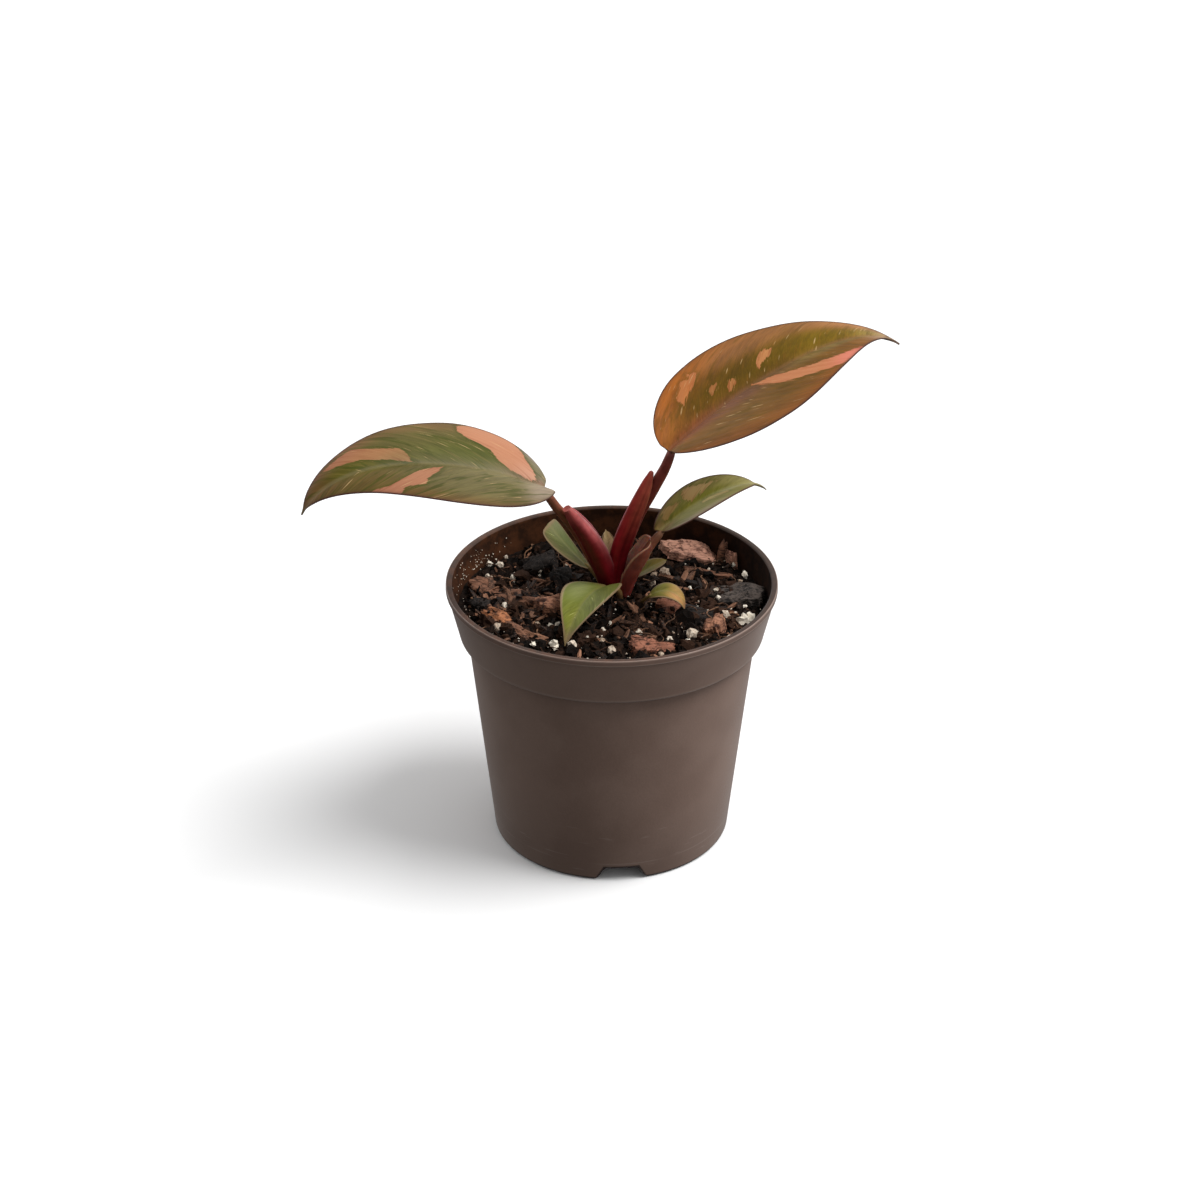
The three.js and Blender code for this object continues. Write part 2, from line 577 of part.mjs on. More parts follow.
// Assembly, in the order in which pieces make room for each other
const plantPieces = [
  { name: "right_leaf_stalk", make: (g) => rod(STALKS.right, { grow: g }), material: STALK_RED },
  { name: "left_leaf_stalk", make: (g) => rod(STALKS.left, { grow: g }), material: STALK_RED },
  { name: "small_leaf_stalk", make: hoodedStalk, material: STALK_RED },
  { name: "right_leaf_blade", make: (g) => blade(BLADES.right, g), material: LEAF_ORANGE },
  { name: "left_leaf_blade", make: (g) => blade(BLADES.left, g), material: LEAF_GREEN },
  { name: "small_leaf_blade", make: (g) => blade(BLADES.small, g), material: LEAF_YOUNG },
  { name: "tall_sheath", make: (g) => rod(SHEATHS.tall, { sides: 12, grow: g }), material: SHEATH_RED },
  { name: "short_sheath", make: (g) => rod(SHEATHS.short, { sides: 12, grow: g }), material: SHEATH_RED },
  { name: "young_leaf_back", make: (g) => youngLeaf("youngBack", g), material: LEAF_YOUNG },
  { name: "young_leaf_front", make: (g) => youngLeaf("youngFront", g), material: LEAF_YOUNG },
  { name: "young_leaf_right", make: (g) => youngLeaf("youngRight", g), material: LEAF_YOUNG },
  { name: "young_leaf_hidden", make: (g) => youngLeaf("youngHidden", g), material: LEAF_YOUNG },
  { name: "scale_leaf", make: (g) => youngLeaf("scale", g), material: LEAF_PALE },
  { name: "stem_crown", make: stem, material: STALK_RED },
];

const plant = new THREE.Group();
let taken = null; // room that the pieces made so far need, with the gap round them
for (const { name, make, material } of plantPieces) {
  const whole = make(0);
  plant.add(toMesh(name, taken ? whole.subtract(taken) : whole, material));
  const room = make(GAP);
  taken = taken ? taken.add(room) : room;
}

const pieces = new THREE.Group();
let ground = pottingMix();
for (const crumb of crumbs()) ground = ground.add(crumb);
ground = ground.subtract(taken);
const inside = cavity();
CHIPS.forEach((spec, index) => {
  const room = chip(spec, index, GAP);
  const solid = chip(spec, index).intersect(inside).subtract(taken);
  pieces.add(toMesh(spec.name, solid, finish(spec.colour, 0.9)));
  ground = ground.subtract(room);
  taken = taken.add(room);
});

const pottedPlant = new THREE.Group();
pottedPlant.add(toMesh("nursery_pot", pot(), PLASTIC));
pottedPlant.add(toMesh("potting_mix", ground, SOIL));
pottedPlant.add(plant, pieces);

export default pottedPlant;
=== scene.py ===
"""Builds the looks of a young orange-variegated philodendron in its brown nursery pot.

Lengths in the tables below are millimetres in the plant's own frame: +Z up, the front of the pot to -Y, and
the origin in the middle of the pot's underside. Meshes are in metres.
"""

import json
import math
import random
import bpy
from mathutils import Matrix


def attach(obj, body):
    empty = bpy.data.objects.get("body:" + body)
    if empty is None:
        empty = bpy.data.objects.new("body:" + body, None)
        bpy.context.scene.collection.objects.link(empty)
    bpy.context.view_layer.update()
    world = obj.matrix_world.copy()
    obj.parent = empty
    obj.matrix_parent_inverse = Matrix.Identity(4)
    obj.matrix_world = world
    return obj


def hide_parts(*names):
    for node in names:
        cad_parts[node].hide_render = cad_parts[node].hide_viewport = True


bl_info = {
    "name": "Potted orange princess philodendron",
    "version": (1, 0, 0),
    "blender": (4, 5, 0),
    "location": "View3D > Sidebar > Philodendron",
    "description": "Builds a young variegated philodendron in its nursery pot",
    "category": "Add Mesh",
}

import bmesh
import bpy
from bpy.props import FloatProperty, FloatVectorProperty, IntProperty, PointerProperty
from mathutils import Euler, Matrix, Vector, noise

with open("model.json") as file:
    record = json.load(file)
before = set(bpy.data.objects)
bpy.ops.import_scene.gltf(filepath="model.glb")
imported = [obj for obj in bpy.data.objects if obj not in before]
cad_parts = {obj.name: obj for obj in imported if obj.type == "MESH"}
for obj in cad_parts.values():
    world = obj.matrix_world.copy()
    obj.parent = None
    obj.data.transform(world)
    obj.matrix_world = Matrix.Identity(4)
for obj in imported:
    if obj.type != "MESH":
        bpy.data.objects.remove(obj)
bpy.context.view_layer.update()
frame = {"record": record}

MM = 0.001

# Pot profile, with the sizes of the pot's solid
POT = {
    "height": 86,
    "rim_radius": 51,
    "bead_height": 2.2,
    "collar_top_radius": 50.2,
    "collar_foot_radius": 47.1,
    "collar_height": 16.2,
    "step_height": 1.5,
    "body_top_radius": 44.5,
    "base_radius": 37,
    "wall": 1.2,
    "foot_width": 1.6,
    "foot_bevel": 0.7,
    "floor_underside": 4.4,
}
COLLAR_FOOT = POT["height"] - POT["collar_height"]
BODY_TOP = COLLAR_FOOT - POT["step_height"]
BEAD_FOOT = POT["height"] - POT["bead_height"]
FLOOR_TOP = POT["floor_underside"] + POT["wall"]
# Notches in the foot: the first one's direction in degrees, and their sizes before the corners are rounded
NOTCH = {"count": 3, "first": -85.3, "bottom_width": 15.8, "top_width": 10.4, "height": 5}
DRAIN = {"middle_radius": 4, "radius": 3, "ring_radius": 24, "count": 6}

# The mix: height of its surface, how it falls, and how far from the pot's axis each kind of grain may reach
MIX = {"level": 77.7, "fall_to_back": 0.03, "clear_of_stem": 4.5}
REACH = {"peat": 46.8, "bark": 46.6, "perlite": 46.6, "fibre_start": 42, "fibre": 45.5}
BARK_HEAP = (-29, -4, 9)
WALL_SPECKS = {"count": 70, "direction": 157, "spread": 10, "low": 78.6, "high": 83.8, "size": (0.09, 0.22)}
GAP = 0.3

# How a blade runs and folds, as in the plant's solids. The midrib starts at base, and its heading, sweep,
# rise, arch and hook are degrees. Of each pair the first value is for the leaf's left half. fold is the lift
# from the midrib, curl the bend down to the margin, ends how slowly the outline opens at the base and closes
# at the tip, lobes how far the base reaches back, and drip the width added to the drawn-out tip. lean slants
# the side veins, and rows and columns are the faces along and across each half.
BLADES = {
    "left": {
        "base": (-19.9, -10.5, 123), "length": 80.5, "width": 39, "heading": 191.5, "sweep": 17,
        "rise": 27.5, "arch": 36, "hook": 53, "roll": -2.5, "twist": -3,
        "fold": (5, 31), "curl": (23, 38), "ends": ((0.62, 1.2), (0.51, 1.12)),
        "widest": 0.38, "lobes": (3.9, 0.8), "tip": 0.02, "drip": (0, 0.8), "lean": 1.5,
        "rows": 150, "columns": 42,
    },
    "right": {
        "base": (17, -0.6, 130.2), "length": 91.5, "width": 48.4, "heading": 38.5, "sweep": -11,
        "rise": 26.5, "arch": 22.2, "hook": 45.5, "roll": 4, "twist": 10,
        "fold": (4, 17.5), "curl": (13.5, 8.5), "ends": ((0.63, 1.15), (0.68, 1.36)),
        "widest": 0.36, "lobes": (0.9, 1.2), "tip": 0.04, "drip": (0.4, -0.1), "lean": 0.8,
        "rows": 160, "columns": 48,
    },
    "small": {
        "base": (14.9, -0.4, 102.9), "length": 39.2, "width": 18, "heading": 25.5, "sweep": -2.5,
        "rise": 36.5, "arch": 38, "hook": 51, "roll": 0, "twist": 1.5,
        "fold": (16, 18.5), "curl": (15, 10.5), "ends": ((0.635, 0.78), (0.635, 0.78)),
        "widest": 0.45, "lobes": (2.3, 0), "tip": 0.13, "drip": (0.5, 0.5), "lean": 1.2,
        "rows": 90, "columns": 26,
    },
    "young_back": {
        "base": (-7, 12, 83.9), "length": 18.7, "width": 11.8, "heading": 164, "sweep": -8,
        "rise": 39.5, "arch": -9, "hook": 0, "roll": 4, "twist": -2,
        "fold": (4.5, -1), "curl": (12.5, 15), "ends": ((0.62, 0.24), (0.53, 0.14)),
        "widest": 0.6, "lobes": (0.3, 0.3), "tip": 0, "drip": (0, 0), "lean": 1.1,
        "rows": 60, "columns": 22,
    },
    "young_front": {
        "base": (-1.2, -2.4, 85), "length": 33.5, "width": 18.6, "heading": 240.3, "sweep": 10,
        "rise": 26, "arch": 71, "hook": 3, "roll": 8.5, "twist": -2,
        "fold": (14.5, 11.5), "curl": (1, 11), "ends": ((0.92, 1.62), (0.52, 1.5)),
        "widest": 0.3, "lobes": (1.2, 0.5), "tip": 0, "drip": (0, 0), "lean": 1.1,
        "rows": 80, "columns": 26,
    },
    "young_right": {
        "base": (11.5, -8, 84.6), "length": 16, "width": 8.3, "heading": -8, "sweep": 3,
        "rise": 52.5, "arch": 152, "hook": 0, "roll": 0, "twist": 2,
        "fold": (10, 10), "curl": (16, 18.5), "ends": ((0.525, 0.725), (0.525, 0.725)),
        "widest": 0.42, "lobes": (0.4, 0), "tip": 0.04, "drip": (0.35, 0.35), "lean": 1.1,
        "rows": 60, "columns": 18,
    },
    "young_hidden": {
        "base": (7.4, 6.6, 83.6), "length": 11.2, "width": 6.8, "heading": 23, "sweep": 4,
        "rise": 28, "arch": 20, "hook": 0, "roll": -6, "twist": 2,
        "fold": (15, 15.5), "curl": (10, 10), "ends": ((0.53, 0.62), (0.53, 0.62)),
        "widest": 0.46, "lobes": (0, 0.4), "tip": 0.04, "drip": (0.35, 0.35), "lean": 1.1,
        "rows": 40, "columns": 14,
    },
    "scale": {
        "base": (-0.4, 10, 83.6), "length": 13.5, "width": 6, "heading": 120, "sweep": 0,
        "rise": 84, "arch": 12, "hook": 0, "roll": 0, "twist": 0,
        "fold": (14, 14), "curl": (8, 8), "ends": ((0.48, 0.72), (0.48, 0.72)),
        "widest": 0.4, "lobes": (0, 0), "tip": 0.04, "drip": (0.35, 0.35), "lean": 1.1,
        "rows": 36, "columns": 12,
    },
}
MARGIN_HALF_WIDTH = 0.4
POINT_HALF_WIDTH = 0.08
POINT_SHARE = 0.07
PATCH_REACH = 5.0
LOBE_ONSET = 0.09
BLADE = {
    "edge": 0.22, "middle": 0.5, "rib": 0.9, "rib_half_width": 1.1, "groove": 0.3, "groove_half_width": 0.7,
}
VEIN = {"curve": 0.55, "spacing": 4.2, "relief": 0.028}
RIPPLE = {"margin": 0.35, "length": 14}

# Salmon patches, as outlines in shares along the midrib and across from it: plus is the leaf's left half
PATCHES = {
    "left": (
        ((0.32, -0.9), (0.24, -1.06), (0.15, -1.05), (0.11, -0.96), (0.09, -0.78), (0.085, -0.56),
         (0.065, -0.4), (0.04, -0.1), (0.065, -0.02), (0.145, -0.1), (0.19, -0.22), (0.22, -0.42),
         (0.29, -0.56), (0.325, -0.72)),
        ((0.84, -0.78), (0.77, -0.79), (0.72, -0.78), (0.67, -0.58), (0.61, -0.41), (0.56, -0.36),
         (0.54, -0.24), (0.53, -0.08), (0.51, -0.02), (0.57, -0.08), (0.65, -0.18), (0.71, -0.32),
         (0.79, -0.5), (0.82, -0.6)),
        ((0.735, 0.95), (0.7, 0.86), (0.65, 0.75), (0.61, 0.58), (0.515, 0.24), (0.415, 0.1), (0.45, 0.28),
         (0.5, 0.5), (0.515, 0.64), (0.6, 0.78), (0.63, 1.0), (0.69, 1.05)),
    ),
    "right": (
        ((0.37, 0.02), (0.42, -0.06), (0.5, -0.24), (0.56, -0.4), (0.6, -0.48), (0.67, -0.62), (0.73, -0.78),
         (0.79, -1.0), (0.74, -1.08), (0.65, -0.94), (0.585, -0.78), (0.485, -0.52), (0.43, -0.34)),
        ((0.235, 0.82), (0.26, 0.75), (0.27, 0.85), (0.295, 0.74), (0.245, 0.58), (0.22, 0.56), (0.19, 0.5),
         (0.165, 0.44), (0.175, 0.68), (0.21, 0.74)),
        ((0.51, 0.46), (0.53, 0.42), (0.51, 0.32), (0.46, 0.22), (0.44, 0.14), (0.45, 0.3), (0.48, 0.4)),
        ((0.345, 0.28), (0.36, 0.26), (0.34, 0.18), (0.305, 0.1), (0.315, 0.2)),
        ((0.285, 0.38), (0.3, 0.36), (0.28, 0.3), (0.25, 0.24), (0.26, 0.33)),
    ),
    "small": (
        ((0.28, 0.48), (0.215, 0.54), (0.185, 0.7), (0.155, 0.78), (0.12, 0.82), (0.1, 0.62), (0.095, 0.3),
         (0.12, 0.2), (0.15, 0.3), (0.185, 0.3), (0.225, 0.36)),
        ((0.6, 0.58), (0.53, 0.62), (0.455, 0.7), (0.415, 0.78), (0.37, 0.87), (0.335, 0.86), (0.32, 0.68),
         (0.3, 0.44), (0.315, 0.24), (0.34, 0.2), (0.375, 0.26), (0.42, 0.28), (0.46, 0.34), (0.55, 0.5)),
        ((0.4, -0.1), (0.455, -0.07), (0.5, -0.14), (0.56, -0.18), (0.615, -0.28), (0.6, -0.42),
         (0.535, -0.42), (0.475, -0.36), (0.425, -0.32), (0.39, -0.26)),
    ),
}


def srgb(red, green, blue):
    """Linear colour from screen values of 0 to 255."""
    linear = [((c / 255 + 0.055) / 1.055) ** 2.4 if c > 10 else c / 255 / 12.92 for c in (red, green, blue)]
    return (*linear, 1.0)


# Skin colours: a ground colour, then soft zones of (along, across, reach along, reach across, colour)
PAINT = {
    "left": (
        srgb(99, 88, 48),
        (
            (0.28, -0.3, 0.12, 0.22, srgb(58, 70, 8)),
            (0.42, -0.22, 0.1, 0.16, srgb(96, 98, 44)),
            (0.5, -0.4, 0.14, 0.3, srgb(88, 84, 42)),
            (0.45, -0.92, 0.2, 0.16, srgb(114, 84, 50)),
            (0.8, -0.95, 0.12, 0.25, srgb(122, 74, 56)),
            (0.78, -0.14, 0.1, 0.24, srgb(78, 74, 0)),
            (0.62, -0.06, 0.08, 0.16, srgb(78, 76, 10)),
            (0.35, 0.45, 0.22, 0.4, srgb(104, 96, 62)),
            (0.72, 0.5, 0.14, 0.35, srgb(92, 70, 30)),
            (0.9, 0.1, 0.06, 0.6, srgb(102, 62, 34)),
            (0.4, 0.97, 0.3, 0.12, srgb(104, 74, 40)),
            (0.58, 0.95, 0.12, 0.2, srgb(98, 66, 26)),
            # Painted highlight: the pale grey end of the near base lobe
            (0.04, 0.45, 0.06, 0.6, srgb(164, 146, 130)),
            (0.06, -0.04, 0.07, 0.12, srgb(146, 92, 80)),
            (0.18, 0.1, 0.14, 0.2, srgb(124, 116, 84)),
            (0.11, -0.9, 0.015, 0.12, srgb(48, 60, 16)),
            (0.04, -0.55, 0.03, 0.3, srgb(118, 112, 86)),
            (0.03, -0.95, 0.05, 0.2, srgb(172, 156, 142)),
            (0.99, 0.0, 0.05, 1.0, srgb(84, 48, 42)),
        ),
    ),
    "right": (
        srgb(122, 80, 28),
        (
            (0.2, 0.95, 0.25, 0.3, srgb(178, 96, 22)),
            (0.06, 0.7, 0.07, 0.6, srgb(170, 100, 48)),
            (0.25, 0.35, 0.18, 0.28, srgb(88, 64, 0)),
            (0.45, 0.24, 0.16, 0.22, srgb(88, 70, 0)),
            (0.7, 0.3, 0.14, 0.25, srgb(110, 92, 0)),
            (0.88, 0.25, 0.07, 0.3, srgb(132, 116, 48)),
            (0.55, 0.9, 0.22, 0.25, srgb(148, 102, 62)),
            (0.42, 0.7, 0.1, 0.15, srgb(134, 94, 60)),
            (0.85, 0.85, 0.1, 0.3, srgb(178, 124, 80)),
            (0.1, 0.0, 0.12, 0.14, srgb(116, 58, 44)),
            (0.3, -0.1, 0.14, 0.12, srgb(114, 74, 62)),
            (0.25, -0.45, 0.2, 0.25, srgb(108, 80, 42)),
            (0.5, -0.5, 0.16, 0.26, srgb(98, 66, 0)),
            (0.25, -0.92, 0.3, 0.2, srgb(130, 76, 36)),
            (0.55, -0.95, 0.2, 0.2, srgb(126, 70, 18)),
            (0.4, -0.75, 0.15, 0.15, srgb(110, 78, 34)),
            (0.66, -0.12, 0.12, 0.12, srgb(120, 104, 58)),
            # The drip tip: pale grey, partly its own colour, partly painted light, since it hooks away from
            # the light
            (0.95, 0.0, 0.07, 1.0, srgb(176, 148, 122)),
            (1.0, 0.0, 0.04, 1.0, srgb(236, 224, 216)),
        ),
    ),
    # The small leaf is painted about twice as light as its own colour: painted light where the right leaf
    # shades it
    "small": (
        srgb(150, 142, 64),
        (
            (0.12, 0.8, 0.12, 0.3, srgb(120, 92, 36)),
            (0.6, 0.55, 0.2, 0.3, srgb(158, 142, 78)),
            (0.2, 0.12, 0.2, 0.16, srgb(132, 124, 42)),
            (0.5, 0.15, 0.14, 0.14, srgb(124, 126, 36)),
            (0.3, 0.85, 0.2, 0.2, srgb(128, 112, 50)),
            (0.75, 0.4, 0.14, 0.4, srgb(186, 178, 112)),
            (0.35, -0.5, 0.25, 0.3, srgb(134, 132, 74)),
            (0.3, -0.92, 0.2, 0.2, srgb(190, 170, 150)),
            (0.6, -0.2, 0.2, 0.12, srgb(196, 190, 140)),
            (0.85, 0.0, 0.08, 1.0, srgb(190, 178, 116)),
            # The drip tip: grey-mauve, partly its own colour, partly painted light, since it hooks away from
            # the light
            (1.0, 0.0, 0.11, 1.0, srgb(236, 224, 216)),
            (0.05, 0.0, 0.06, 0.6, srgb(150, 112, 80)),
        ),
    ),
    "young_back": (
        srgb(88, 92, 40),
        (
            (0.92, -0.4, 0.2, 0.6, srgb(118, 120, 82)),
            (0.55, -0.3, 0.3, 0.3, srgb(92, 104, 46)),
            (0.15, 0.0, 0.15, 0.8, srgb(80, 74, 30)),
            (0.5, 0.9, 0.4, 0.2, srgb(100, 90, 58)),
        ),
    ),
    "young_front": (
        srgb(104, 112, 44),
        (
            (0.3, -0.4, 0.14, 0.3, srgb(132, 136, 84)),
            (0.5, 0.2, 0.16, 0.3, srgb(98, 106, 46)),
            (0.15, -0.2, 0.15, 0.6, srgb(100, 104, 44)),
            (0.72, -0.2, 0.14, 0.5, srgb(126, 128, 52)),
            (0.55, -0.97, 0.4, 0.05, srgb(186, 160, 132)),
            (0.55, 0.97, 0.4, 0.05, srgb(196, 168, 140)),
            (0.35, 0.55, 0.2, 0.35, srgb(94, 96, 50)),
            (0.98, 0.0, 0.1, 1.0, srgb(148, 104, 92)),
            (0.03, 0.0, 0.06, 1.0, srgb(132, 92, 70)),
        ),
    ),
    "young_right": (
        srgb(124, 114, 44),
        (
            (0.2, 0.0, 0.2, 1.0, srgb(104, 104, 38)),
            (0.6, 0.5, 0.15, 0.5, srgb(180, 136, 80)),
            (0.6, -0.5, 0.2, 0.5, srgb(184, 128, 84)),
            (0.95, 0.0, 0.15, 1.0, srgb(152, 92, 80)),
        ),
    ),
    # Yellow olive of its own, darkened in part as painted shade, since it lies half hidden behind the hood
    "young_hidden": (
        srgb(112, 98, 26),
        (
            (0.3, 0.0, 0.3, 1.0, srgb(104, 96, 24)),
            (0.85, 0.0, 0.2, 1.0, srgb(128, 104, 36)),
        ),
    ),
    "scale": (
        srgb(228, 192, 160),
        (
            (0.2, 0.0, 0.3, 1.0, srgb(204, 150, 122)),
            (0.9, 0.0, 0.2, 1.0, srgb(226, 206, 140)),
        ),
    ),
}
PALE_PATCH = srgb(186, 140, 96)
PATCH_PAINT = {
    "left": (
        srgb(166, 112, 82),
        (
            (0.18, -0.7, 0.16, 0.5, srgb(188, 130, 98)),
            (0.06, -0.16, 0.05, 0.25, srgb(194, 146, 122)),
            (0.66, -0.36, 0.1, 0.3, srgb(148, 106, 68)),
            (0.56, -0.16, 0.08, 0.16, srgb(122, 102, 58)),
            (0.8, -0.8, 0.12, 0.4, srgb(146, 96, 70)),
            (0.5, 0.4, 0.2, 0.4, srgb(160, 110, 82)),
            (0.65, 0.9, 0.12, 0.3, srgb(150, 98, 74)),
        ),
    ),
    "right": (
        srgb(182, 114, 72),
        (
            (0.22, 0.65, 0.06, 0.3, srgb(182, 110, 54)),
            (0.5, 0.36, 0.06, 0.2, srgb(178, 122, 72)),
            (0.33, 0.2, 0.05, 0.12, srgb(158, 104, 54)),
            (0.27, 0.32, 0.04, 0.1, srgb(140, 94, 44)),
            (0.5, -0.35, 0.12, 0.3, srgb(186, 120, 80)),
            (0.75, -0.85, 0.1, 0.3, srgb(212, 120, 106)),
        ),
    ),
    "small": (
        srgb(184, 144, 88),
        (
            (0.15, 0.5, 0.1, 0.4, srgb(160, 130, 66)),
            (0.55, 0.5, 0.14, 0.4, srgb(206, 176, 116)),
            (0.5, -0.25, 0.2, 0.25, srgb(200, 190, 126)),
        ),
    ),
}

# Colours of stalks and sheaths, as for a blade: the places are shares along, and round from -1 to 1
STALK_PAINT = {
    "left": (srgb(132, 72, 54), (
        (0.0, 0.0, 0.25, 2.0, srgb(110, 36, 32)),
        (0.55, 0.0, 0.2, 2.0, srgb(134, 76, 54)),
        (0.85, 0.0, 0.15, 2.0, srgb(140, 88, 66)),
    )),
    "right": (srgb(134, 62, 52), (
        (0.0, 0.0, 0.3, 2.0, srgb(120, 28, 30)),
        (0.7, 0.0, 0.2, 2.0, srgb(138, 64, 54)),
        (0.95, 0.0, 0.12, 2.0, srgb(124, 72, 66)),
    )),
    "small": (srgb(150, 90, 66), (
        (0.0, 0.0, 0.3, 2.0, srgb(124, 40, 38)),
        (0.6, 0.0, 0.2, 2.0, srgb(152, 92, 70)),
        (0.95, 0.0, 0.15, 2.0, srgb(166, 126, 96)),
    )),
    "young": (srgb(132, 112, 62), ((0.0, 0.0, 0.4, 2.0, srgb(112, 70, 50)),)),
    "tall": (srgb(130, 12, 26), (
        (0.0, 0.0, 0.34, 2.0, srgb(74, 0, 8)),
        (0.6, 0.3, 0.4, 0.12, srgb(158, 30, 40)),
        # Painted highlight: a pale line along the left keel
        (0.58, 0.08, 0.36, 0.055, srgb(250, 196, 196)),
        (0.88, 0.92, 0.2, 0.16, srgb(186, 112, 86)),
        (0.6, -0.16, 0.5, 0.04, srgb(206, 110, 120)),
        (0.5, 0.55, 0.5, 0.04, srgb(70, 4, 12)),
        (0.35, 0.75, 0.35, 0.2, srgb(72, 10, 16)),
        (0.84, 0.5, 0.22, 0.36, srgb(178, 88, 66)),
        (1.0, 0.0, 0.03, 2.0, srgb(150, 84, 76)),
    )),
    "short": (srgb(126, 18, 34), (
        (0.0, 0.0, 0.3, 2.0, srgb(52, 0, 4)),
        (0.2, 0.0, 0.28, 2.0, srgb(66, 0, 4)),
        # Painted highlight: a soft pink band along the upper facet
        (0.8, 0.74, 0.28, 0.16, srgb(222, 122, 120)),
        (0.5, 0.36, 0.35, 0.22, srgb(88, 34, 28)),
        # Painted highlights: pale lines along both edges
        (0.78, 0.88, 0.32, 0.035, srgb(244, 188, 186)),
        (0.75, -0.74, 0.35, 0.035, srgb(214, 140, 140)),
        (0.45, 0.58, 0.35, 0.1, srgb(130, 8, 26)),
        (0.92, 0.0, 0.08, 2.0, srgb(182, 88, 82)),
        (1.0, 0.0, 0.03, 2.0, srgb(190, 108, 96)),
    )),
    "hood": (srgb(132, 68, 54), (
        (0.0, 0.0, 0.3, 2.0, srgb(120, 34, 36)),
        (0.6, 1.0, 0.5, 0.04, srgb(250, 204, 164)),
        (0.6, -1.0, 0.5, 0.04, srgb(250, 204, 164)),
        (0.7, 0.0, 0.3, 0.5, srgb(146, 92, 70)),
    )),
    # The hood's inside: pale mauve-brown of its own, painted lighter still as painted light, since it faces
    # away from the key
    "hood inside": (srgb(224, 178, 158), (
        (0.2, 0.0, 0.15, 2.0, srgb(176, 108, 90)),
        (0.8, 0.0, 0.3, 0.6, srgb(228, 190, 170)),
    )),
    "crown": (srgb(92, 36, 30), ((0.9, 0.0, 0.3, 2.0, srgb(112, 48, 40)),)),
}

# Stalks and sheaths: points of their centre line, and radii at even steps along it. depth is the section's
# depth as a share of its width, rounding the length of a rounded tip, and cup how deep a cut end sinks in
STALKS = {
    "left": {
        "route": ((-1.2, 6.8, 78.5), (-2.9, 6.2, 84.2), (-5.9, 4.6, 91.2), (-9.3, 1.7, 99.4),
                  (-13.2, -2.2, 107.4), (-16.8, -6.4, 114.2), (-19.5, -9.4, 119.8), (-20.5, -10.6, 121.6)),
        "radii": (1.9, 1.85, 1.7, 1.5, 1.3, 1.15),
    },
    "right": {
        "route": ((1.8, 7.6, 78.5), (2.8, 6.8, 88), (4.9, 5.8, 97), (8.5, 4.6, 107),
                  (12.4, 3, 115.5), (15.4, 1.4, 122), (17.2, 0.2, 127.4), (17.9, 0.4, 129.3)),
        "radii": (2, 1.95, 1.9, 1.75, 1.45, 1.2),
    },
    "small": {
        "route": ((3.4, 4.2, 78.5), (5, 3.6, 84), (8, 2, 90.6), (11.2, 0.7, 96.4), (14.1, 0, 101.1),
                  (15.7, 0.3, 102.8)),
        "radii": (2, 1.85, 1.6, 1.35, 1.15, 0.6),
    },
    "young_back": {
        "route": ((-1.8, 8.6, 75.6), (-3.9, 10.4, 80.4), (-6.8, 11.9, 83.7), (-8.4, 12.4, 85)),
        "radii": (0.9, 0.8, 0.7, 0.4),
    },
    "young_front": {
        "route": ((2.4, 2.6, 77.5), (2.2, 1.4, 80.6), (0.6, -1.2, 84), (-0.9, -2.4, 84.8)),
        "radii": (1.3, 1.1, 0.9, 0.4),
    },
    "young_right": {
        "route": ((8.6, -1.2, 73.5), (9.2, -3, 79.5), (11.3, -7.8, 84.3), (12, -8, 85.2)),
        "radii": (0.7, 0.6, 0.5, 0.3),
    },
    "young_hidden": {
        "route": ((4.2, 7.6, 78), (5.6, 7, 81.2), (7.2, 6.6, 83.3), (8.4, 7, 84)),
        "radii": (0.9, 0.8, 0.7, 0.4),
    },
    "scale": {
        "route": ((0.4, 9, 78), (0, 9.6, 81), (-0.4, 10, 83.5), (-0.6, 10.2, 85)),
        "radii": (1.4, 1.3, 0.9, 0.4),
    },
}
SHEATHS = {
    "tall": {
        "route": ((0.7, 3.9, 79), (1, 3.4, 86), (2.5, 2.4, 95.4), (5.6, 1.4, 105.1), (9.3, 0.6, 115),
                  (12.1, 1.2, 122.6)),
        "radii": (2.5, 2.6, 2.75, 2.95, 3.05, 2.9, 2.5, 1.8, 0.75),
        "depth": 0.85, "rounding": 1.2,
    },
    "short": {
        "route": ((-0.6, 3.4, 79), (-1.8, 2.4, 87), (-4.2, 0.4, 95), (-7.4, -2.4, 102.6),
                  (-10.8, -5.4, 109.2), (-13.6, -8, 114.4)),
        "radii": (2.6, 3, 3.3, 3.4, 3.35, 3.1, 2.65, 2.05, 1.3),
        "depth": 0.85, "cup": 0.35,
    },
}
# The hood's mouth opens towards a direction, by degrees on its near and far side at even steps along it
HOOD = {
    "length": 24,
    "route": ((3.8, 3.6, 79.5), (5.4, 2.9, 86), (7.6, 1.9, 92), (9.7, 1, 97), (11.2, 0.4, 100.8)),
    "radii": (2.2, 2.7, 3.1, 3.0, 2.3),
    "mouth": (-0.72, -0.58, 0.38),
    "opening": ((0, 0, 14, 48, 110), (0, 8, 62, 90, 80)),
    "wall": 0.3,
}
STEM = {"x": 0.9, "y": 5.6, "bottom": 62, "top": 82.5, "neck_radius": 4.4, "stub_radius": 3.2}

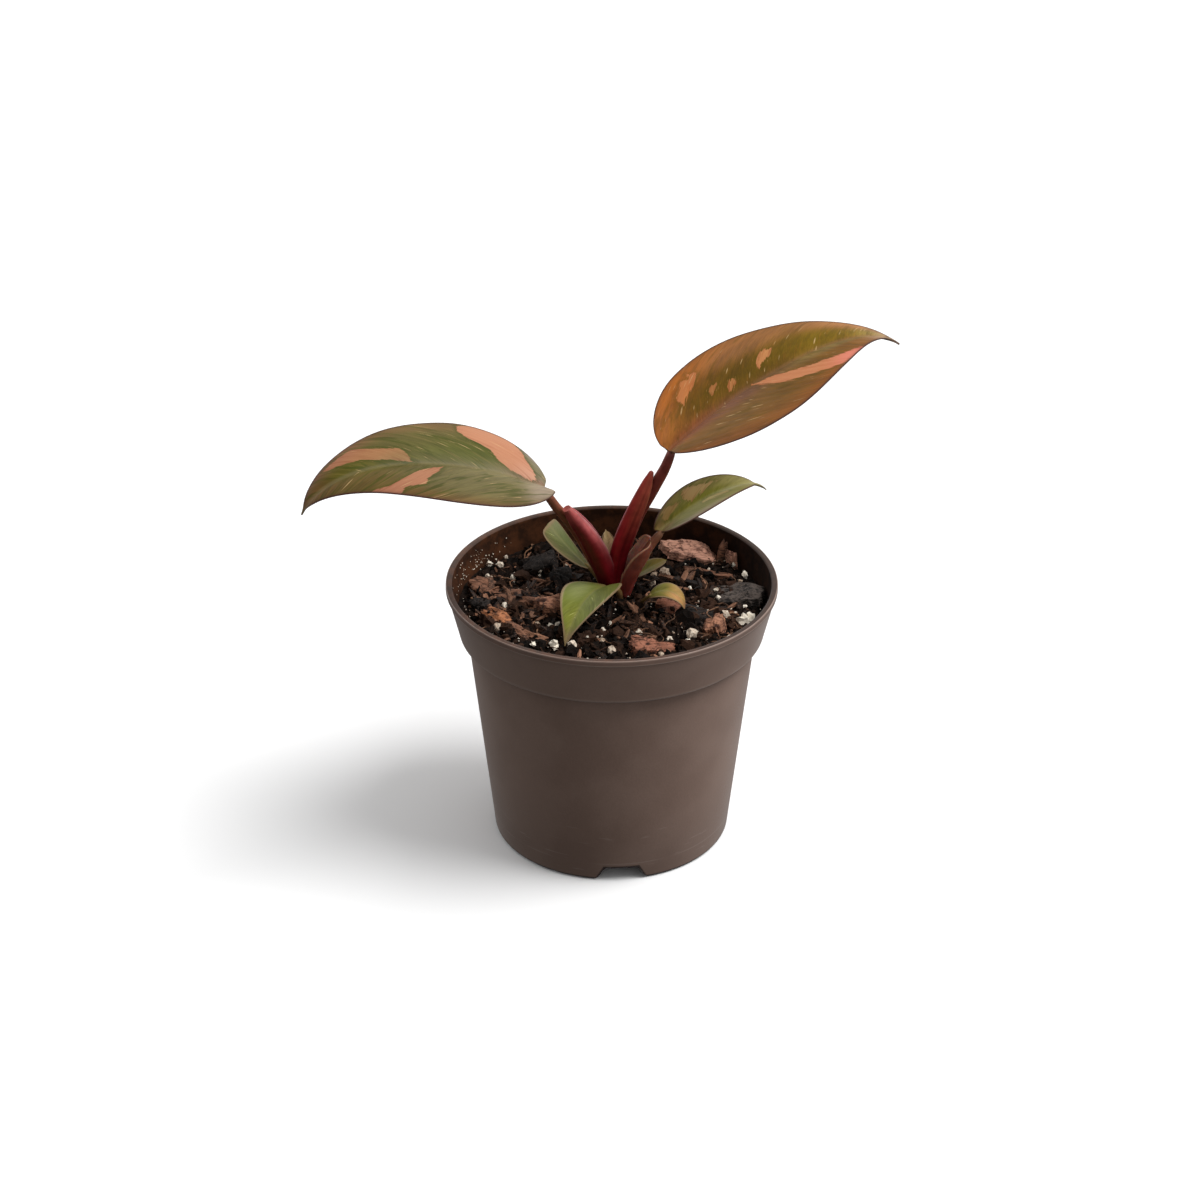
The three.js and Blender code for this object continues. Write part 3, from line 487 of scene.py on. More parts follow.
# Bark pieces: place in plan, length, width and height, degrees about Z and of tilt, depth in the mix, colours
TAN = (srgb(204, 150, 126), srgb(92, 56, 44))
RED = (srgb(152, 98, 76), srgb(54, 30, 22))
TAWNY = (srgb(164, 114, 88), srgb(60, 34, 25))
BROWN = (srgb(134, 92, 70), srgb(44, 28, 22))
ORANGE = (srgb(182, 118, 80), srgb(70, 42, 28))
BLACK = (srgb(84, 74, 68), srgb(20, 16, 14))
CHARRED = (srgb(44, 36, 32), srgb(11, 8, 7))
CHIPS = {
    "bark_tan_back": ((25.6, 32.4), (16.4, 9.4, 4), 4, 14, 0.8, TAN),
    "bark_dark_right": ((40, 3.2), (13, 11.5, 4.6), -25, -12, 1.6, BLACK),
    "bark_red_front": ((12, -31), (11.5, 8, 5.4), 5, 8, 2, RED),
    "bark_red_right": ((31.4, -17.6), (5.6, 9, 5.6), -12, -20, 1.8, TAWNY),
    "bark_red_middle": ((18.6, -3.4), (8.6, 7.2, 4), -35, 12, 1.4, RED),
    "bark_red_left": ((-18.8, -5.4), (8.8, 8.4, 5), 20, 10, 1, TAWNY),
    "bark_slab_outer": ((-38.4, 8.6), (12, 7, 2.8), -28, 10, 1, BROWN),
    "bark_slab_inner": ((-28.8, 0.6), (13, 6.4, 2.8), -38, -8, 1, BROWN),
    "bark_orange_left": ((-35.2, -11.2), (8.4, 4.6, 3.2), -30, 8, 1.2, ORANGE),
    "bark_strip_left": ((-28.4, -19.8), (12, 3.6, 2.2), -48, 3, 0.8, BROWN),
    "bark_lump_back": ((-23, 25), (9.5, 8, 5.2), 15, -14, 2, CHARRED),
    "bark_lump_inner": ((-15.4, 15), (7.6, 6, 4.2), -30, 16, 1.6, CHARRED),
    "bark_flat_front": ((28, -8.6), (11, 6, 2.6), -14, 4, 1, CHARRED),
    "bark_dark_left": ((-40.6, -1.6), (6.4, 6, 3.4), 40, 8, 1.2, CHARRED),
    "twig_right": ((30.4, 20.4), (14.5, 2.2, 1.8), -14, 4, 0.6, BROWN),
    "bark_sliver_tall": ((35, 30.6), (2.4, 1.9, 9), 20, 12, 2.4, BROWN),
    "bark_sliver_short": ((38.4, 26.4), (3, 1.8, 7), -20, -14, 2.2, TAN),
}
BARK_SEED = 4

# Perlite grains that stand out: place in plan and radius
PERLITE = (
    (16.8, 17.6, 1.3), (24.1, -24.9, 1.9), (40.2, -13.5, 1.8), (42.3, -11.6, 1.4), (12.9, 11, 0.9),
    (8.2, -21.6, 1), (-0.9, -16, 0.9), (-17.4, -28.3, 1.2), (-12, -30.1, 1.3), (0, -34.4, 1.1),
    (-34.8, -19.1, 1.4), (34.2, -10.9, 1.5), (-35.1, 23.7, 1.1), (-38.6, 24.3, 1), (41.8, 15.9, 1.1),
    (32.4, 6.4, 0.9), (38.6, 25.4, 0.7), (24.4, 8.4, 0.6), (-30.8, 14.3, 1), (-33.4, 29.8, 0.7),
    (7.9, -15.3, 0.9), (17.2, -24.6, 0.8), (-2.7, -20.3, 0.7), (22.8, -27.7, 0.7), (35.8, -25.2, 1),
    (13.3, 16.3, 1), (-23.6, -30.7, 0.8),
)

# The camera looks at a point on the plant's axis plane; the left light comes from a direction low behind
TARGET = (-3.604, 0, 78.816)
SENSOR_WIDTH = 36
LEFT_LIGHT_WAY = (-0.81, 0.57, 0.12)


# Small helpers
def smooth_step(value):
    share = min(max(value, 0.0), 1.0)
    return share * share * (3 - 2 * share)


def mixed(a, b, share):
    return a + (b - a) * share


def along(samples, share):
    """Value at a share of the way along evenly spaced samples, on a smooth curve through them."""
    place = share * (len(samples) - 1)
    low = min(int(place), len(samples) - 2)
    u = place - low
    before, a, b, after = (samples[min(max(low + step, 0), len(samples) - 1)] for step in (-1, 0, 1, 2))
    leaving, arriving = (b - before) / 2, (after - a) / 2
    square = 3 * (b - a) - 2 * leaving - arriving
    cube = 2 * (a - b) + leaving + arriving
    return a + leaving * u + square * u**2 + cube * u**3


def mix_top(x, y):
    """Height of the potting mix, in millimetres."""
    broad = 0.55 * math.sin(0.21 * x + 0.6) * math.cos(0.17 * y - 0.4)
    narrow = 0.45 * math.sin(0.43 * x - 0.36 * y + 1.1)
    return MIX["level"] - MIX["fall_to_back"] * y + broad + narrow


def body_radius(z):
    """Outer radius of the pot's tapered wall."""
    return mixed(POT["base_radius"], POT["body_top_radius"], z / BODY_TOP)


def pot_inner_radius(z):
    if z < BODY_TOP:
        return body_radius(z) - POT["wall"]
    if z < COLLAR_FOOT:
        share = (z - BODY_TOP) / POT["step_height"]
        return mixed(POT["body_top_radius"], POT["collar_foot_radius"], share) - POT["wall"]
    share = min((z - COLLAR_FOOT) / (BEAD_FOOT - COLLAR_FOOT), 1)
    return mixed(POT["collar_foot_radius"], POT["collar_top_radius"], share) - POT["wall"]


def painted(zones, t, s):
    """Soft blend of the zones' colours round a place on the skin."""
    ground, spots = zones
    weight = 0.35
    total = [weight * c for c in ground[:3]]
    for zone_t, zone_s, reach_t, reach_s, colour in spots:
        share = math.exp(-(((t - zone_t) / reach_t) ** 2) - ((s - zone_s) / reach_s) ** 2)
        weight += share
        total = [a + share * c for a, c in zip(total, colour)]
    return (*(c / weight for c in total), 1.0)


def crease(bm, degrees):
    """Smooth shading, with the edges sharper than an angle left crisp."""
    limit = math.radians(degrees)
    for face in bm.faces:
        face.smooth = True
    for edge in bm.edges:
        if len(edge.link_faces) == 2:
            edge.smooth = edge.calc_face_angle(0) < limit


def as_mesh(bm, name):
    mesh = bpy.data.meshes.new(name)
    bm.to_mesh(mesh)
    bm.free()
    return mesh


def as_object(name, data):
    """A new object of the scene that shows a mesh, light or camera."""
    item = bpy.data.objects.new(name, data)
    bpy.context.scene.collection.objects.link(item)
    return item


def add_piece(bm, name, material, slot, *nodes):
    """Makes the finished mesh an object of the plant, which stands for the named nodes."""
    mesh = as_mesh(bm, name)
    mesh.materials.append(material)
    piece = as_object(name, mesh)
    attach(piece, "root")
    if nodes:
        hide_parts(*nodes)
    return piece


def spun(profile, steps):
    """A closed turned body from (radius, height) points that start and end on the axis."""
    bm = bmesh.new()
    verts = [bm.verts.new((r * MM, 0, z * MM)) for r, z in profile]
    edges = [bm.edges.new(pair) for pair in zip(verts, verts[1:])]
    bmesh.ops.spin(
        bm, geom=verts + edges, cent=(0, 0, 0), axis=(0, 0, 1), angle=2 * math.pi, steps=steps,
        use_merge=True,
    )
    bmesh.ops.remove_doubles(bm, verts=bm.verts, dist=0.01 * MM)
    bmesh.ops.recalc_face_normals(bm, faces=bm.faces)
    return bm


def rounded(outline, steps=5):
    """Rounds off each corner of an outline of (radius, height, corner size) points."""
    points = [Vector(corner[:2]) for corner in outline]
    made = [points[0]]
    for before, corner, after, (_, _, cut) in zip(points, points[1:], points[2:], outline[1:]):
        if cut == 0:
            made.append(corner)
            continue
        start = corner + (before - corner).normalized() * cut
        end = corner + (after - corner).normalized() * cut
        for step in range(steps + 1):
            share = step / steps
            made.append(start.lerp(corner, share).lerp(corner.lerp(end, share), share))
    return [tuple(p) for p in made + [points[-1]]]


# Shader helpers
def feed(tree, node, inputs):
    """Gives each named or numbered socket of a node a value or a link."""
    for key, value in inputs.items():
        if isinstance(value, bpy.types.NodeSocket):
            tree.links.new(value, node.inputs[key])
        else:
            node.inputs[key].default_value = value


def put(tree, kind, inputs=None, **settings):
    """Adds a node with its settings, and feeds its sockets."""
    node = tree.nodes.new(kind)
    for key, value in settings.items():
        setattr(node, key, value)
    feed(tree, node, inputs or {})
    return node


def maths(tree, operation, *values):
    return put(tree, "ShaderNodeMath", dict(enumerate(values)), operation=operation).outputs[0]


def plus(tree, a, b):
    return maths(tree, "ADD", a, b)


def minus(tree, a, b):
    return maths(tree, "SUBTRACT", a, b)


def times(tree, a, b):
    return maths(tree, "MULTIPLY", a, b)


def blend(tree, share, a, b, mode="MIX"):
    node = put(tree, "ShaderNodeMix", {0: share, 6: a, 7: b}, data_type="RGBA", blend_type=mode)
    return node.outputs[2]


def ramp(tree, value, low, high, to_low=0.0, to_high=1.0):
    """Smooth step of a value from low to high."""
    inputs = {"Value": value, "From Min": low, "From Max": high, "To Min": to_low, "To Max": to_high}
    return put(tree, "ShaderNodeMapRange", inputs, interpolation_type="SMOOTHSTEP").outputs[0]


def grain(tree, place, scale, detail=2.0, roughness=0.5, distortion=0.0):
    inputs = {"Vector": place, "Scale": scale, "Detail": detail, "Roughness": roughness}
    return put(tree, "ShaderNodeTexNoise", {**inputs, "Distortion": distortion}).outputs[0]


def vector(tree, x, y, z):
    return put(tree, "ShaderNodeCombineXYZ", {0: x, 1: y, 2: z}).outputs[0]


def attribute(tree, name, output="Fac"):
    return put(tree, "ShaderNodeAttribute", attribute_name=name).outputs[output]


def object_millimetres(tree, stretch=(1, 1, 1), turn=(0, 0, 0)):
    """Object coordinates in millimetres, stretched or turned for a pattern with a grain."""
    place = put(tree, "ShaderNodeTexCoord").outputs["Object"]
    inputs = {"Vector": place, "Rotation": turn, "Scale": [1000 * s for s in stretch]}
    return put(tree, "ShaderNodeMapping", inputs).outputs[0]


def shader_group(name, inputs, outputs, fill):
    """A node group, built the first time that a material asks for it."""
    group = bpy.data.node_groups.get(name)
    if group:
        return group
    group = bpy.data.node_groups.new(name, "ShaderNodeTree")
    for label, value in inputs.items():
        kind = "NodeSocketFloat" if isinstance(value, float) else "NodeSocketColor"
        if value is None:
            kind = "NodeSocketVector"
        socket = group.interface.new_socket(label, in_out="INPUT", socket_type=kind)
        if value is not None:
            socket.default_value = value
    for label in outputs:
        kind = "NodeSocketColor" if label == "Colour" else "NodeSocketFloat"
        group.interface.new_socket(label, in_out="OUTPUT", socket_type=kind)
    given = group.nodes.new("NodeGroupInput").outputs
    results = group.nodes.new("NodeGroupOutput").inputs
    for label, socket in fill(group, given).items():
        group.links.new(socket, results[label])
    return group


def new_material(name):
    """An empty material: its node tree, and its Principled shader."""
    material = bpy.data.materials.new(name)
    material.use_nodes = True
    return material, material.node_tree, material.node_tree.nodes["Principled BSDF"]


def bump(tree, height, distance, strength=1.0):
    inputs = {"Height": height, "Distance": distance * MM, "Strength": strength}
    return put(tree, "ShaderNodeBump", inputs).outputs[0]


# Shared effects
def fill_leaf_skin(tree, given):
    """Leaf skin from the place on the leaf: veins, streaky patches, cream flecks and a dark margin line."""
    side = maths(tree, "SIGN", given["Across"])
    reach = maths(tree, "ABSOLUTE", given["Across"])
    with_veins = vector(tree, given["Vein"], times(tree, reach, 0.16), times(tree, side, 9.0))
    streak = grain(tree, with_veins, 0.9, 4, 0.6)
    fine = grain(tree, with_veins, 3.2, 3, 0.6)
    cloud = grain(tree, vector(tree, given["Vein"], given["Across"], 3.0), 0.16, 3, 0.55)
    drift = vector(tree, times(tree, given["Vein"], 0.4), times(tree, given["Across"], 0.22), 7.0)
    depth = grain(tree, drift, 0.7, 4, 0.6, 0.9)

    streaky = times(tree, ramp(tree, streak, 0.52, 0.74), given["Streaks"])
    colour = blend(tree, streaky, given["Paint"], given["Streak Colour"])
    deep = times(tree, ramp(tree, depth, 0.5, 0.66), given["Deep"])
    colour = blend(tree, deep, colour, given["Deep Colour"])
    shade = plus(tree, times(tree, cloud, 0.5), times(tree, fine, 0.5))
    colour = blend(tree, 1.0, colour, ramp(tree, shade, 0.32, 0.68, 0.72, 1.22), "MULTIPLY")
    rib = times(tree, ramp(tree, reach, 1.1, 0.1), given["Rib"])
    colour = blend(tree, rib, colour, given["Rib Colour"])

    ragged = times(tree, minus(tree, streak, 0.5), given["Ragged"])
    torn = maths(tree, "MULTIPLY_ADD", ragged, 2.0, given["Patch"])
    torn = maths(tree, "MULTIPLY_ADD", minus(tree, fine, 0.5), 0.7, torn)
    edging = times(tree, ramp(tree, torn, -1.6, -0.2, 0.0, 0.75), given["Deep"])
    colour = blend(tree, edging, colour, given["Deep Colour"])
    island = times(tree, ramp(tree, torn, -1.9, -0.5), ramp(tree, fine, 0.62, 0.7, 0.0, 0.75))
    inside = maths(tree, "MAXIMUM", ramp(tree, torn, -0.12, 0.12), island)
    paler_share = times(tree, ramp(tree, streak, 0.46, 0.7), ramp(tree, torn, 2.6, 0.2, 0.35, 0.85))
    faded = blend(tree, 1.0, given["Patch Paint"], srgb(214, 190, 176), "MULTIPLY")
    patch = blend(tree, paler_share, given["Patch Paint"], faded)
    patch = blend(tree, ramp(tree, fine, 0.52, 0.8, 0.0, 0.3), patch, given["Fleck Colour"])
    colour = blend(tree, inside, colour, patch)

    cells = vector(tree, given["Vein"], times(tree, reach, 0.26), times(tree, side, 5.0))
    spots = put(tree, "ShaderNodeTexVoronoi", {"Vector": cells, "Scale": 0.9}).outputs
    draws = put(tree, "ShaderNodeSeparateColor", {0: spots["Color"]}).outputs
    spread = maths(tree, "DIVIDE", spots["Distance"], plus(tree, draws[1], 0.45))
    likely = times(tree, given["Flecks"], ramp(tree, depth, 0.35, 0.6, 0.4, 1.6))
    chosen = maths(tree, "LESS_THAN", draws[0], likely)
    fleck = times(tree, ramp(tree, spread, 0.3, 0.1), chosen)
    fleck = times(tree, fleck, ramp(tree, fine, 0.3, 0.55))
    colour = blend(tree, times(tree, fleck, 0.62), colour, given["Fleck Colour"])

    border = times(tree, ramp(tree, given["Margin"], 1.8, 0.1), given["Border"])
    line = ramp(tree, given["Margin"], 0.75, 0.3, 0.0, 0.92)
    colour = blend(tree, maths(tree, "MAXIMUM", border, line), colour, given["Margin Colour"])
    height = maths(tree, "MULTIPLY_ADD", fine, 0.6, times(tree, cloud, 0.8))
    return {"Colour": colour, "Height": height, "Roughness": ramp(tree, fine, 0.2, 0.8, 0.36, 0.5)}


def leaf_skin_group():
    inputs = {
        "Vein": 0.0, "Across": 0.0, "Margin": 5.0, "Patch": -5.0, "Paint": srgb(110, 115, 60),
        "Patch Paint": PALE_PATCH, "Streaks": 0.5, "Streak Colour": srgb(140, 110, 60), "Deep": 0.4,
        "Deep Colour": srgb(60, 66, 20), "Rib": 0.4, "Rib Colour": srgb(150, 140, 112), "Flecks": 0.2,
        "Fleck Colour": srgb(224, 196, 150), "Margin Colour": srgb(70, 36, 30), "Ragged": 1.0,
        "Border": 0.35,
    }
    return shader_group("leaf skin", inputs, ("Colour", "Height", "Roughness"), fill_leaf_skin)


def fill_woody(tree, given):
    """Layered bark: long grain, dark cracks and paler worn patches."""
    lengthways = grain(tree, given["Long"], 0.9, 5, 0.65, 0.4)
    blotch = grain(tree, given["Vector"], 0.35, 4, 0.6)
    split = grain(tree, given["Long"], 0.35, 3, 0.5, 1.2)
    crack = ramp(tree, maths(tree, "ABSOLUTE", minus(tree, split, 0.5)), 0.025, 0.0)
    tone = maths(tree, "MULTIPLY_ADD", lengthways, 0.45, times(tree, blotch, 0.55))
    colour = blend(tree, ramp(tree, tone, 0.38, 0.54), given["Dark"], given["Light"])
    colour = blend(tree, times(tree, crack, 0.6), colour, given["Dark"])
    speck = ramp(tree, grain(tree, given["Vector"], 2.6, 2), 0.66, 0.74)
    colour = blend(tree, times(tree, speck, 0.35), colour, given["Dust"])
    height = minus(tree, maths(tree, "MULTIPLY_ADD", lengthways, 1.0, blotch), crack)
    return {"Colour": colour, "Height": height, "Roughness": ramp(tree, lengthways, 0.3, 0.7, 0.9, 0.66)}


def woody_group():
    inputs = {
        "Vector": None, "Long": None, "Light": srgb(150, 86, 64), "Dark": srgb(60, 34, 26),
        "Dust": srgb(196, 170, 146),
    }
    return shader_group("woody", inputs, ("Colour", "Height", "Roughness"), fill_woody)


# Materials
def leaf_material(name, **given):
    material, tree, shader = new_material(name)
    values = {key: attribute(tree, key.lower()) for key in ("Vein", "Across", "Margin", "Patch")}
    values["Paint"] = attribute(tree, "paint", "Color")
    values["Patch Paint"] = attribute(tree, "patch_paint", "Color")
    made = put(tree, "ShaderNodeGroup", {**values, **given}, node_tree=leaf_skin_group()).outputs
    feed(tree, shader, {
        "Base Color": made["Colour"],
        "Roughness": made["Roughness"],
        "Normal": bump(tree, made["Height"], 0.06),
        "Specular IOR Level": 0.11,
    })
    return material


def stalk_material(name, roughness, coat, streak_colour, specular=0.25):
    """Smooth plant skin with fine lengthwise streaks over its painted colour."""
    material, tree, shader = new_material(name)
    inputs = {"Vector": attribute(tree, "skin", "Vector"), "Scale": (5, 5, 0.12)}
    streak = grain(tree, put(tree, "ShaderNodeMapping", inputs).outputs[0], 1.0, 4, 0.6)
    cloud = grain(tree, object_millimetres(tree), 0.4, 3)
    colour = attribute(tree, "paint", "Color")
    colour = blend(tree, ramp(tree, streak, 0.45, 0.75, 0.0, 0.35), colour, streak_colour)
    colour = blend(tree, 1.0, colour, ramp(tree, cloud, 0.3, 0.7, 0.82, 1.15), "MULTIPLY")
    feed(tree, shader, {
        "Base Color": colour,
        "Normal": bump(tree, streak, 0.05),
        "Roughness": ramp(tree, cloud, 0.2, 0.8, roughness - 0.06, roughness + 0.08),
        "Coat Weight": coat,
        "Coat Roughness": 0.2,
        "Specular IOR Level": specular,
    })
    return material


def foot_line(tree, x, y, height):
    """A dark line along the pot's foot and round its notches, where the edge is in shade."""
    turned = minus(tree, maths(tree, "ARCTAN2", y, x), math.radians(NOTCH["first"]))
    step = math.pi / NOTCH["count"]
    turned = maths(tree, "ABSOLUTE", maths(tree, "WRAP", turned, step, -step))
    sideways = times(tree, turned, POT["base_radius"])
    foot, top = NOTCH["bottom_width"] / 2, NOTCH["top_width"] / 2
    lean = (foot - top) / NOTCH["height"]
    beside = minus(tree, maths(tree, "MULTIPLY_ADD", height, lean, sideways), foot)
    above = minus(tree, height, NOTCH["height"])
    away = maths(tree, "MAXIMUM", maths(tree, "DIVIDE", beside, math.hypot(1, lean)), above)
    away = maths(tree, "MINIMUM", away, minus(tree, height, POT["foot_bevel"] - 0.2))
    return ramp(tree, away, 0.7, 0.25)


def plastic_material(settings, name, specular, sheen):
    """Moulded brown plastic: faint mottling, a few scuffs, dust from the mix inside, painted shade and
    highlights.
    """
    material, tree, shader = new_material(name)
    place = object_millimetres(tree)
    x, y, height = put(tree, "ShaderNodeSeparateXYZ", {0: place}).outputs
    cloud = grain(tree, place, 0.05, 3, 0.5)
    fine = grain(tree, place, 1.6, 3, 0.6)
    mottling = ramp(tree, cloud, 0.35, 0.65)
    colour = blend(tree, mottling, (*settings.plastic, 1), (*settings.plastic_pale, 1))
    colour = blend(tree, 1.0, colour, ramp(tree, fine, 0.2, 0.8, 0.94, 1.06), "MULTIPLY")

    scratches = grain(tree, object_millimetres(tree, (0.1, 0.1, 1.4), (0.25, 0.1, 0)), 0.9, 2, 0.4)
    scuffs_and_highlights = times(tree, ramp(tree, scratches, 0.69, 0.74), ramp(tree, height, 34.0, 4.0))
    seam = ramp(tree, maths(tree, "ABSOLUTE", minus(tree, height, 6.4)), 0.3, 0.1)
    seam = times(tree, seam, ramp(tree, cloud, 0.42, 0.6, 0.1, 0.9))
    # Pale rim and collar edges from the vertex marks: painted highlights with some wear, broken up by the
    # scratch grain
    paler_share = times(tree, attribute(tree, "paler_share"), ramp(tree, scratches, 0.3, 0.6, 0.6, 1.6))
    scuffs_and_highlights = maths(tree, "MAXIMUM", maths(tree, "MAXIMUM", scuffs_and_highlights, seam), paler_share)
    # Scuffs, the mould line and the painted edge highlights pale the plastic towards one colour
    colour = blend(tree, times(tree, scuffs_and_highlights, 0.35), colour, srgb(176, 158, 148))
    # Painted shade: the pot darkens towards the floor, to 0.8 of its colour at the bottom
    colour = blend(tree, 1.0, colour, ramp(tree, height, 0.0, 40.0, 0.8, 1.0), "MULTIPLY")

    damp = ramp(tree, grain(tree, place, 0.22, 4, 0.6), 0.35, 0.65)
    soil_and_shade = blend(tree, damp, srgb(76, 44, 25), srgb(44, 25, 14))
    # Darker towards +X, down to 0.3 of the colour at 46 mm
    soil_and_shade = blend(tree, 1.0, soil_and_shade, ramp(tree, x, 0.0, 46.0, 1.0, 0.3), "MULTIPLY")
    inside = attribute(tree, "inside")
    # The inside attribute brings soil onto the inner wall, and painted shade onto the foot, bead and lip top
    colour = blend(tree, inside, colour, soil_and_shade)
    colour = blend(tree, times(tree, foot_line(tree, x, y, height), 0.85), colour, srgb(14, 8, 8))
    feed(tree, shader, {
        "Base Color": colour,
        "Roughness": maths(tree, "MULTIPLY_ADD", inside, 0.6, ramp(tree, fine, 0.3, 0.7, 0.38, 0.5)),
        "Normal": bump(tree, maths(tree, "MULTIPLY_ADD", cloud, 3.0, fine), 0.05, 0.6),
        "Specular IOR Level": specular,
        "Sheen Weight": sheen,
        "Sheen Roughness": 0.35,
    })
    return material


def woody_material(name, light, dark, turn):
    material, tree, shader = new_material(name)
    inputs = {
        "Vector": object_millimetres(tree),
        "Long": object_millimetres(tree, (0.28, 0.75, 2.2), turn),
        "Light": light,
        "Dark": dark,
    }
    made = put(tree, "ShaderNodeGroup", inputs, node_tree=woody_group()).outputs
    feed(tree, shader, {
        "Base Color": made["Colour"],
        "Roughness": made["Roughness"],
        "Normal": bump(tree, made["Height"], 0.4),
        "Specular IOR Level": 0.25,
    })
    return material


def crumb_material(name, dark, light, roughness, specular=0.14):
    """Small loose grains, each with its own tone between two colours."""
    material, tree, shader = new_material(name)
    place = object_millimetres(tree)
    speckle = grain(tree, place, 1.6, 4, 0.65)
    share = maths(tree, "MULTIPLY_ADD", speckle, 1.5, minus(tree, attribute(tree, "tone"), 0.72))
    feed(tree, shader, {
        "Base Color": blend(tree, ramp(tree, share, 0.0, 1.0), dark, light),
        "Normal": bump(tree, grain(tree, place, 3.0, 3, 0.6), 0.25),
        "Roughness": roughness,
        "Specular IOR Level": specular,
    })
    return material


# Blades
def midrib_frames(leaf, stations):
    """Point, direction, sideways and up along the midrib."""

    def direction(t):
        heading = math.radians(leaf["heading"] + leaf["sweep"] * t)
        pitch = math.radians(leaf["rise"] - leaf["arch"] * t - leaf["hook"] * t**6)
        flat = math.cos(pitch)
        ahead = Vector((flat * math.cos(heading), flat * math.sin(heading), math.sin(pitch)))
        return ahead, Vector((-math.sin(heading), math.cos(heading), 0))

    point = Vector(leaf["base"])
    substeps = 4
    reached = 0.0
    frames = []
    for t in stations:
        step = (t - reached) / substeps
        for k in range(substeps):
            point = point + direction(reached + step * (k + 0.5))[0] * step * leaf["length"]
        reached = t
        ahead, flat_left = direction(t)
        flat_up = ahead.cross(flat_left)
        roll = math.radians(leaf["roll"] + leaf["twist"] * t)
        left = flat_left * math.cos(roll) + flat_up * math.sin(roll)
        up = flat_up * math.cos(roll) - flat_left * math.sin(roll)
        frames.append((point.copy(), ahead, left, up))
    return frames


def half_width(leaf, t, side):
    """Half the blade's width in millimetres at a share along it, to its left (0) or right (1)."""
    rise, fall = leaf["ends"][side]
    u = min(max(t / (1 - leaf["tip"]), 1e-6), 1 - 1e-6)
    full = (u / leaf["widest"]) ** rise * ((1 - u) / (1 - leaf["widest"])) ** fall
    margin = mixed(POINT_HALF_WIDTH, MARGIN_HALF_WIDTH, smooth_step((1 - t) / POINT_SHARE))
    return margin + leaf["width"] / 2 * (full + leaf["drip"][side] * t**6 * (1 - t))


def vein_start(leaf, t, distance, half):
    """Place along the midrib, in millimetres, where the side vein through a point leaves it."""
    return t * leaf["length"] - distance * (leaf["lean"] + VEIN["curve"] * (distance / half) ** 2)


def blade_place(leaf, seed, placed, t, s, under):
    """A point of the blade's upper (under 0) or lower (under 1) face."""
    point, ahead, left, up = placed
    side = 1 if s >= 0 else -1
    index = 0 if s >= 0 else 1
    reach = abs(s)
    half = half_width(leaf, t, index)
    fold = math.radians(leaf["fold"][index])
    curl = math.radians(leaf["curl"][index])
    lateral = half * (math.sin(fold) - math.sin(fold - curl * reach)) / curl
    lift = half * (math.cos(fold - curl * reach) - math.cos(fold)) / curl
    distance = half * reach
    back = leaf["lobes"][index] * (1 - t) ** 8 * smooth_step(distance / (LOBE_ONSET * leaf["width"]))
    lean = fold - curl * reach
    normal = up * math.cos(lean) - left * side * math.sin(lean)
    size = leaf["width"] / 40
    vein = vein_start(leaf, t, distance, half)
    inner = math.sin(math.pi * min(reach * 1.05, 1))
    spacing = VEIN["spacing"] * size**0.5
    relief = VEIN["relief"] * size * inner * math.sin(2 * math.pi * vein / spacing + side)
    wander = noise.noise(Vector((t * leaf["length"] / RIPPLE["length"], side * 3.0, seed)))
    relief += RIPPLE["margin"] * size * wander * reach**2
    relief -= BLADE["groove"] * size * (1 - t) * math.exp(-((distance / BLADE["groove_half_width"]) ** 2))
    point_taper = mixed(0.5, 1, smooth_step((1 - t) / POINT_SHARE))
    thickness = mixed(BLADE["middle"], BLADE["edge"], reach**2) * point_taper
    rib = BLADE["rib"] * size * (1 - 0.85 * t) * math.exp(-((distance / BLADE["rib_half_width"]) ** 2))
    lobe_way = Vector((ahead.x, ahead.y, 0.2 * ahead.z))
    placed_at = point + left * side * lateral + up * lift - lobe_way * back
    return (placed_at + normal * (relief - under * (thickness + rib))) * MM


def outline_depth(outline, x, y):
    """Distance from a closed outline, plus inside and minus outside."""
    nearest = 1e9
    inside = False
    for (ax, ay), (bx, by) in zip(outline, outline[1:] + outline[:1]):
        dx, dy = bx - ax, by - ay
        share = min(max(((x - ax) * dx + (y - ay) * dy) / (dx * dx + dy * dy), 0), 1)
        nearest = min(nearest, math.hypot(x - ax - share * dx, y - ay - share * dy))
        if (ay > y) != (by > y) and x < ax + (y - ay) * dx / dy:
            inside = not inside
    return nearest if inside else -nearest


def on_blade(leaf, t, s):
    """Millimetres along and across the blade, from shares of its length and half width."""
    return t * leaf["length"], s * half_width(leaf, t, 0 if s >= 0 else 1)


def patch_depth(leaf, outlines, t, s):
    """How deep a place lies in the nearest patch, in millimetres, minus outside it."""
    x, y = on_blade(leaf, t, s)
    deepest = max((outline_depth(outline, x, y) for outline in outlines), default=-PATCH_REACH)
    return min(max(deepest, -PATCH_REACH), PATCH_REACH)


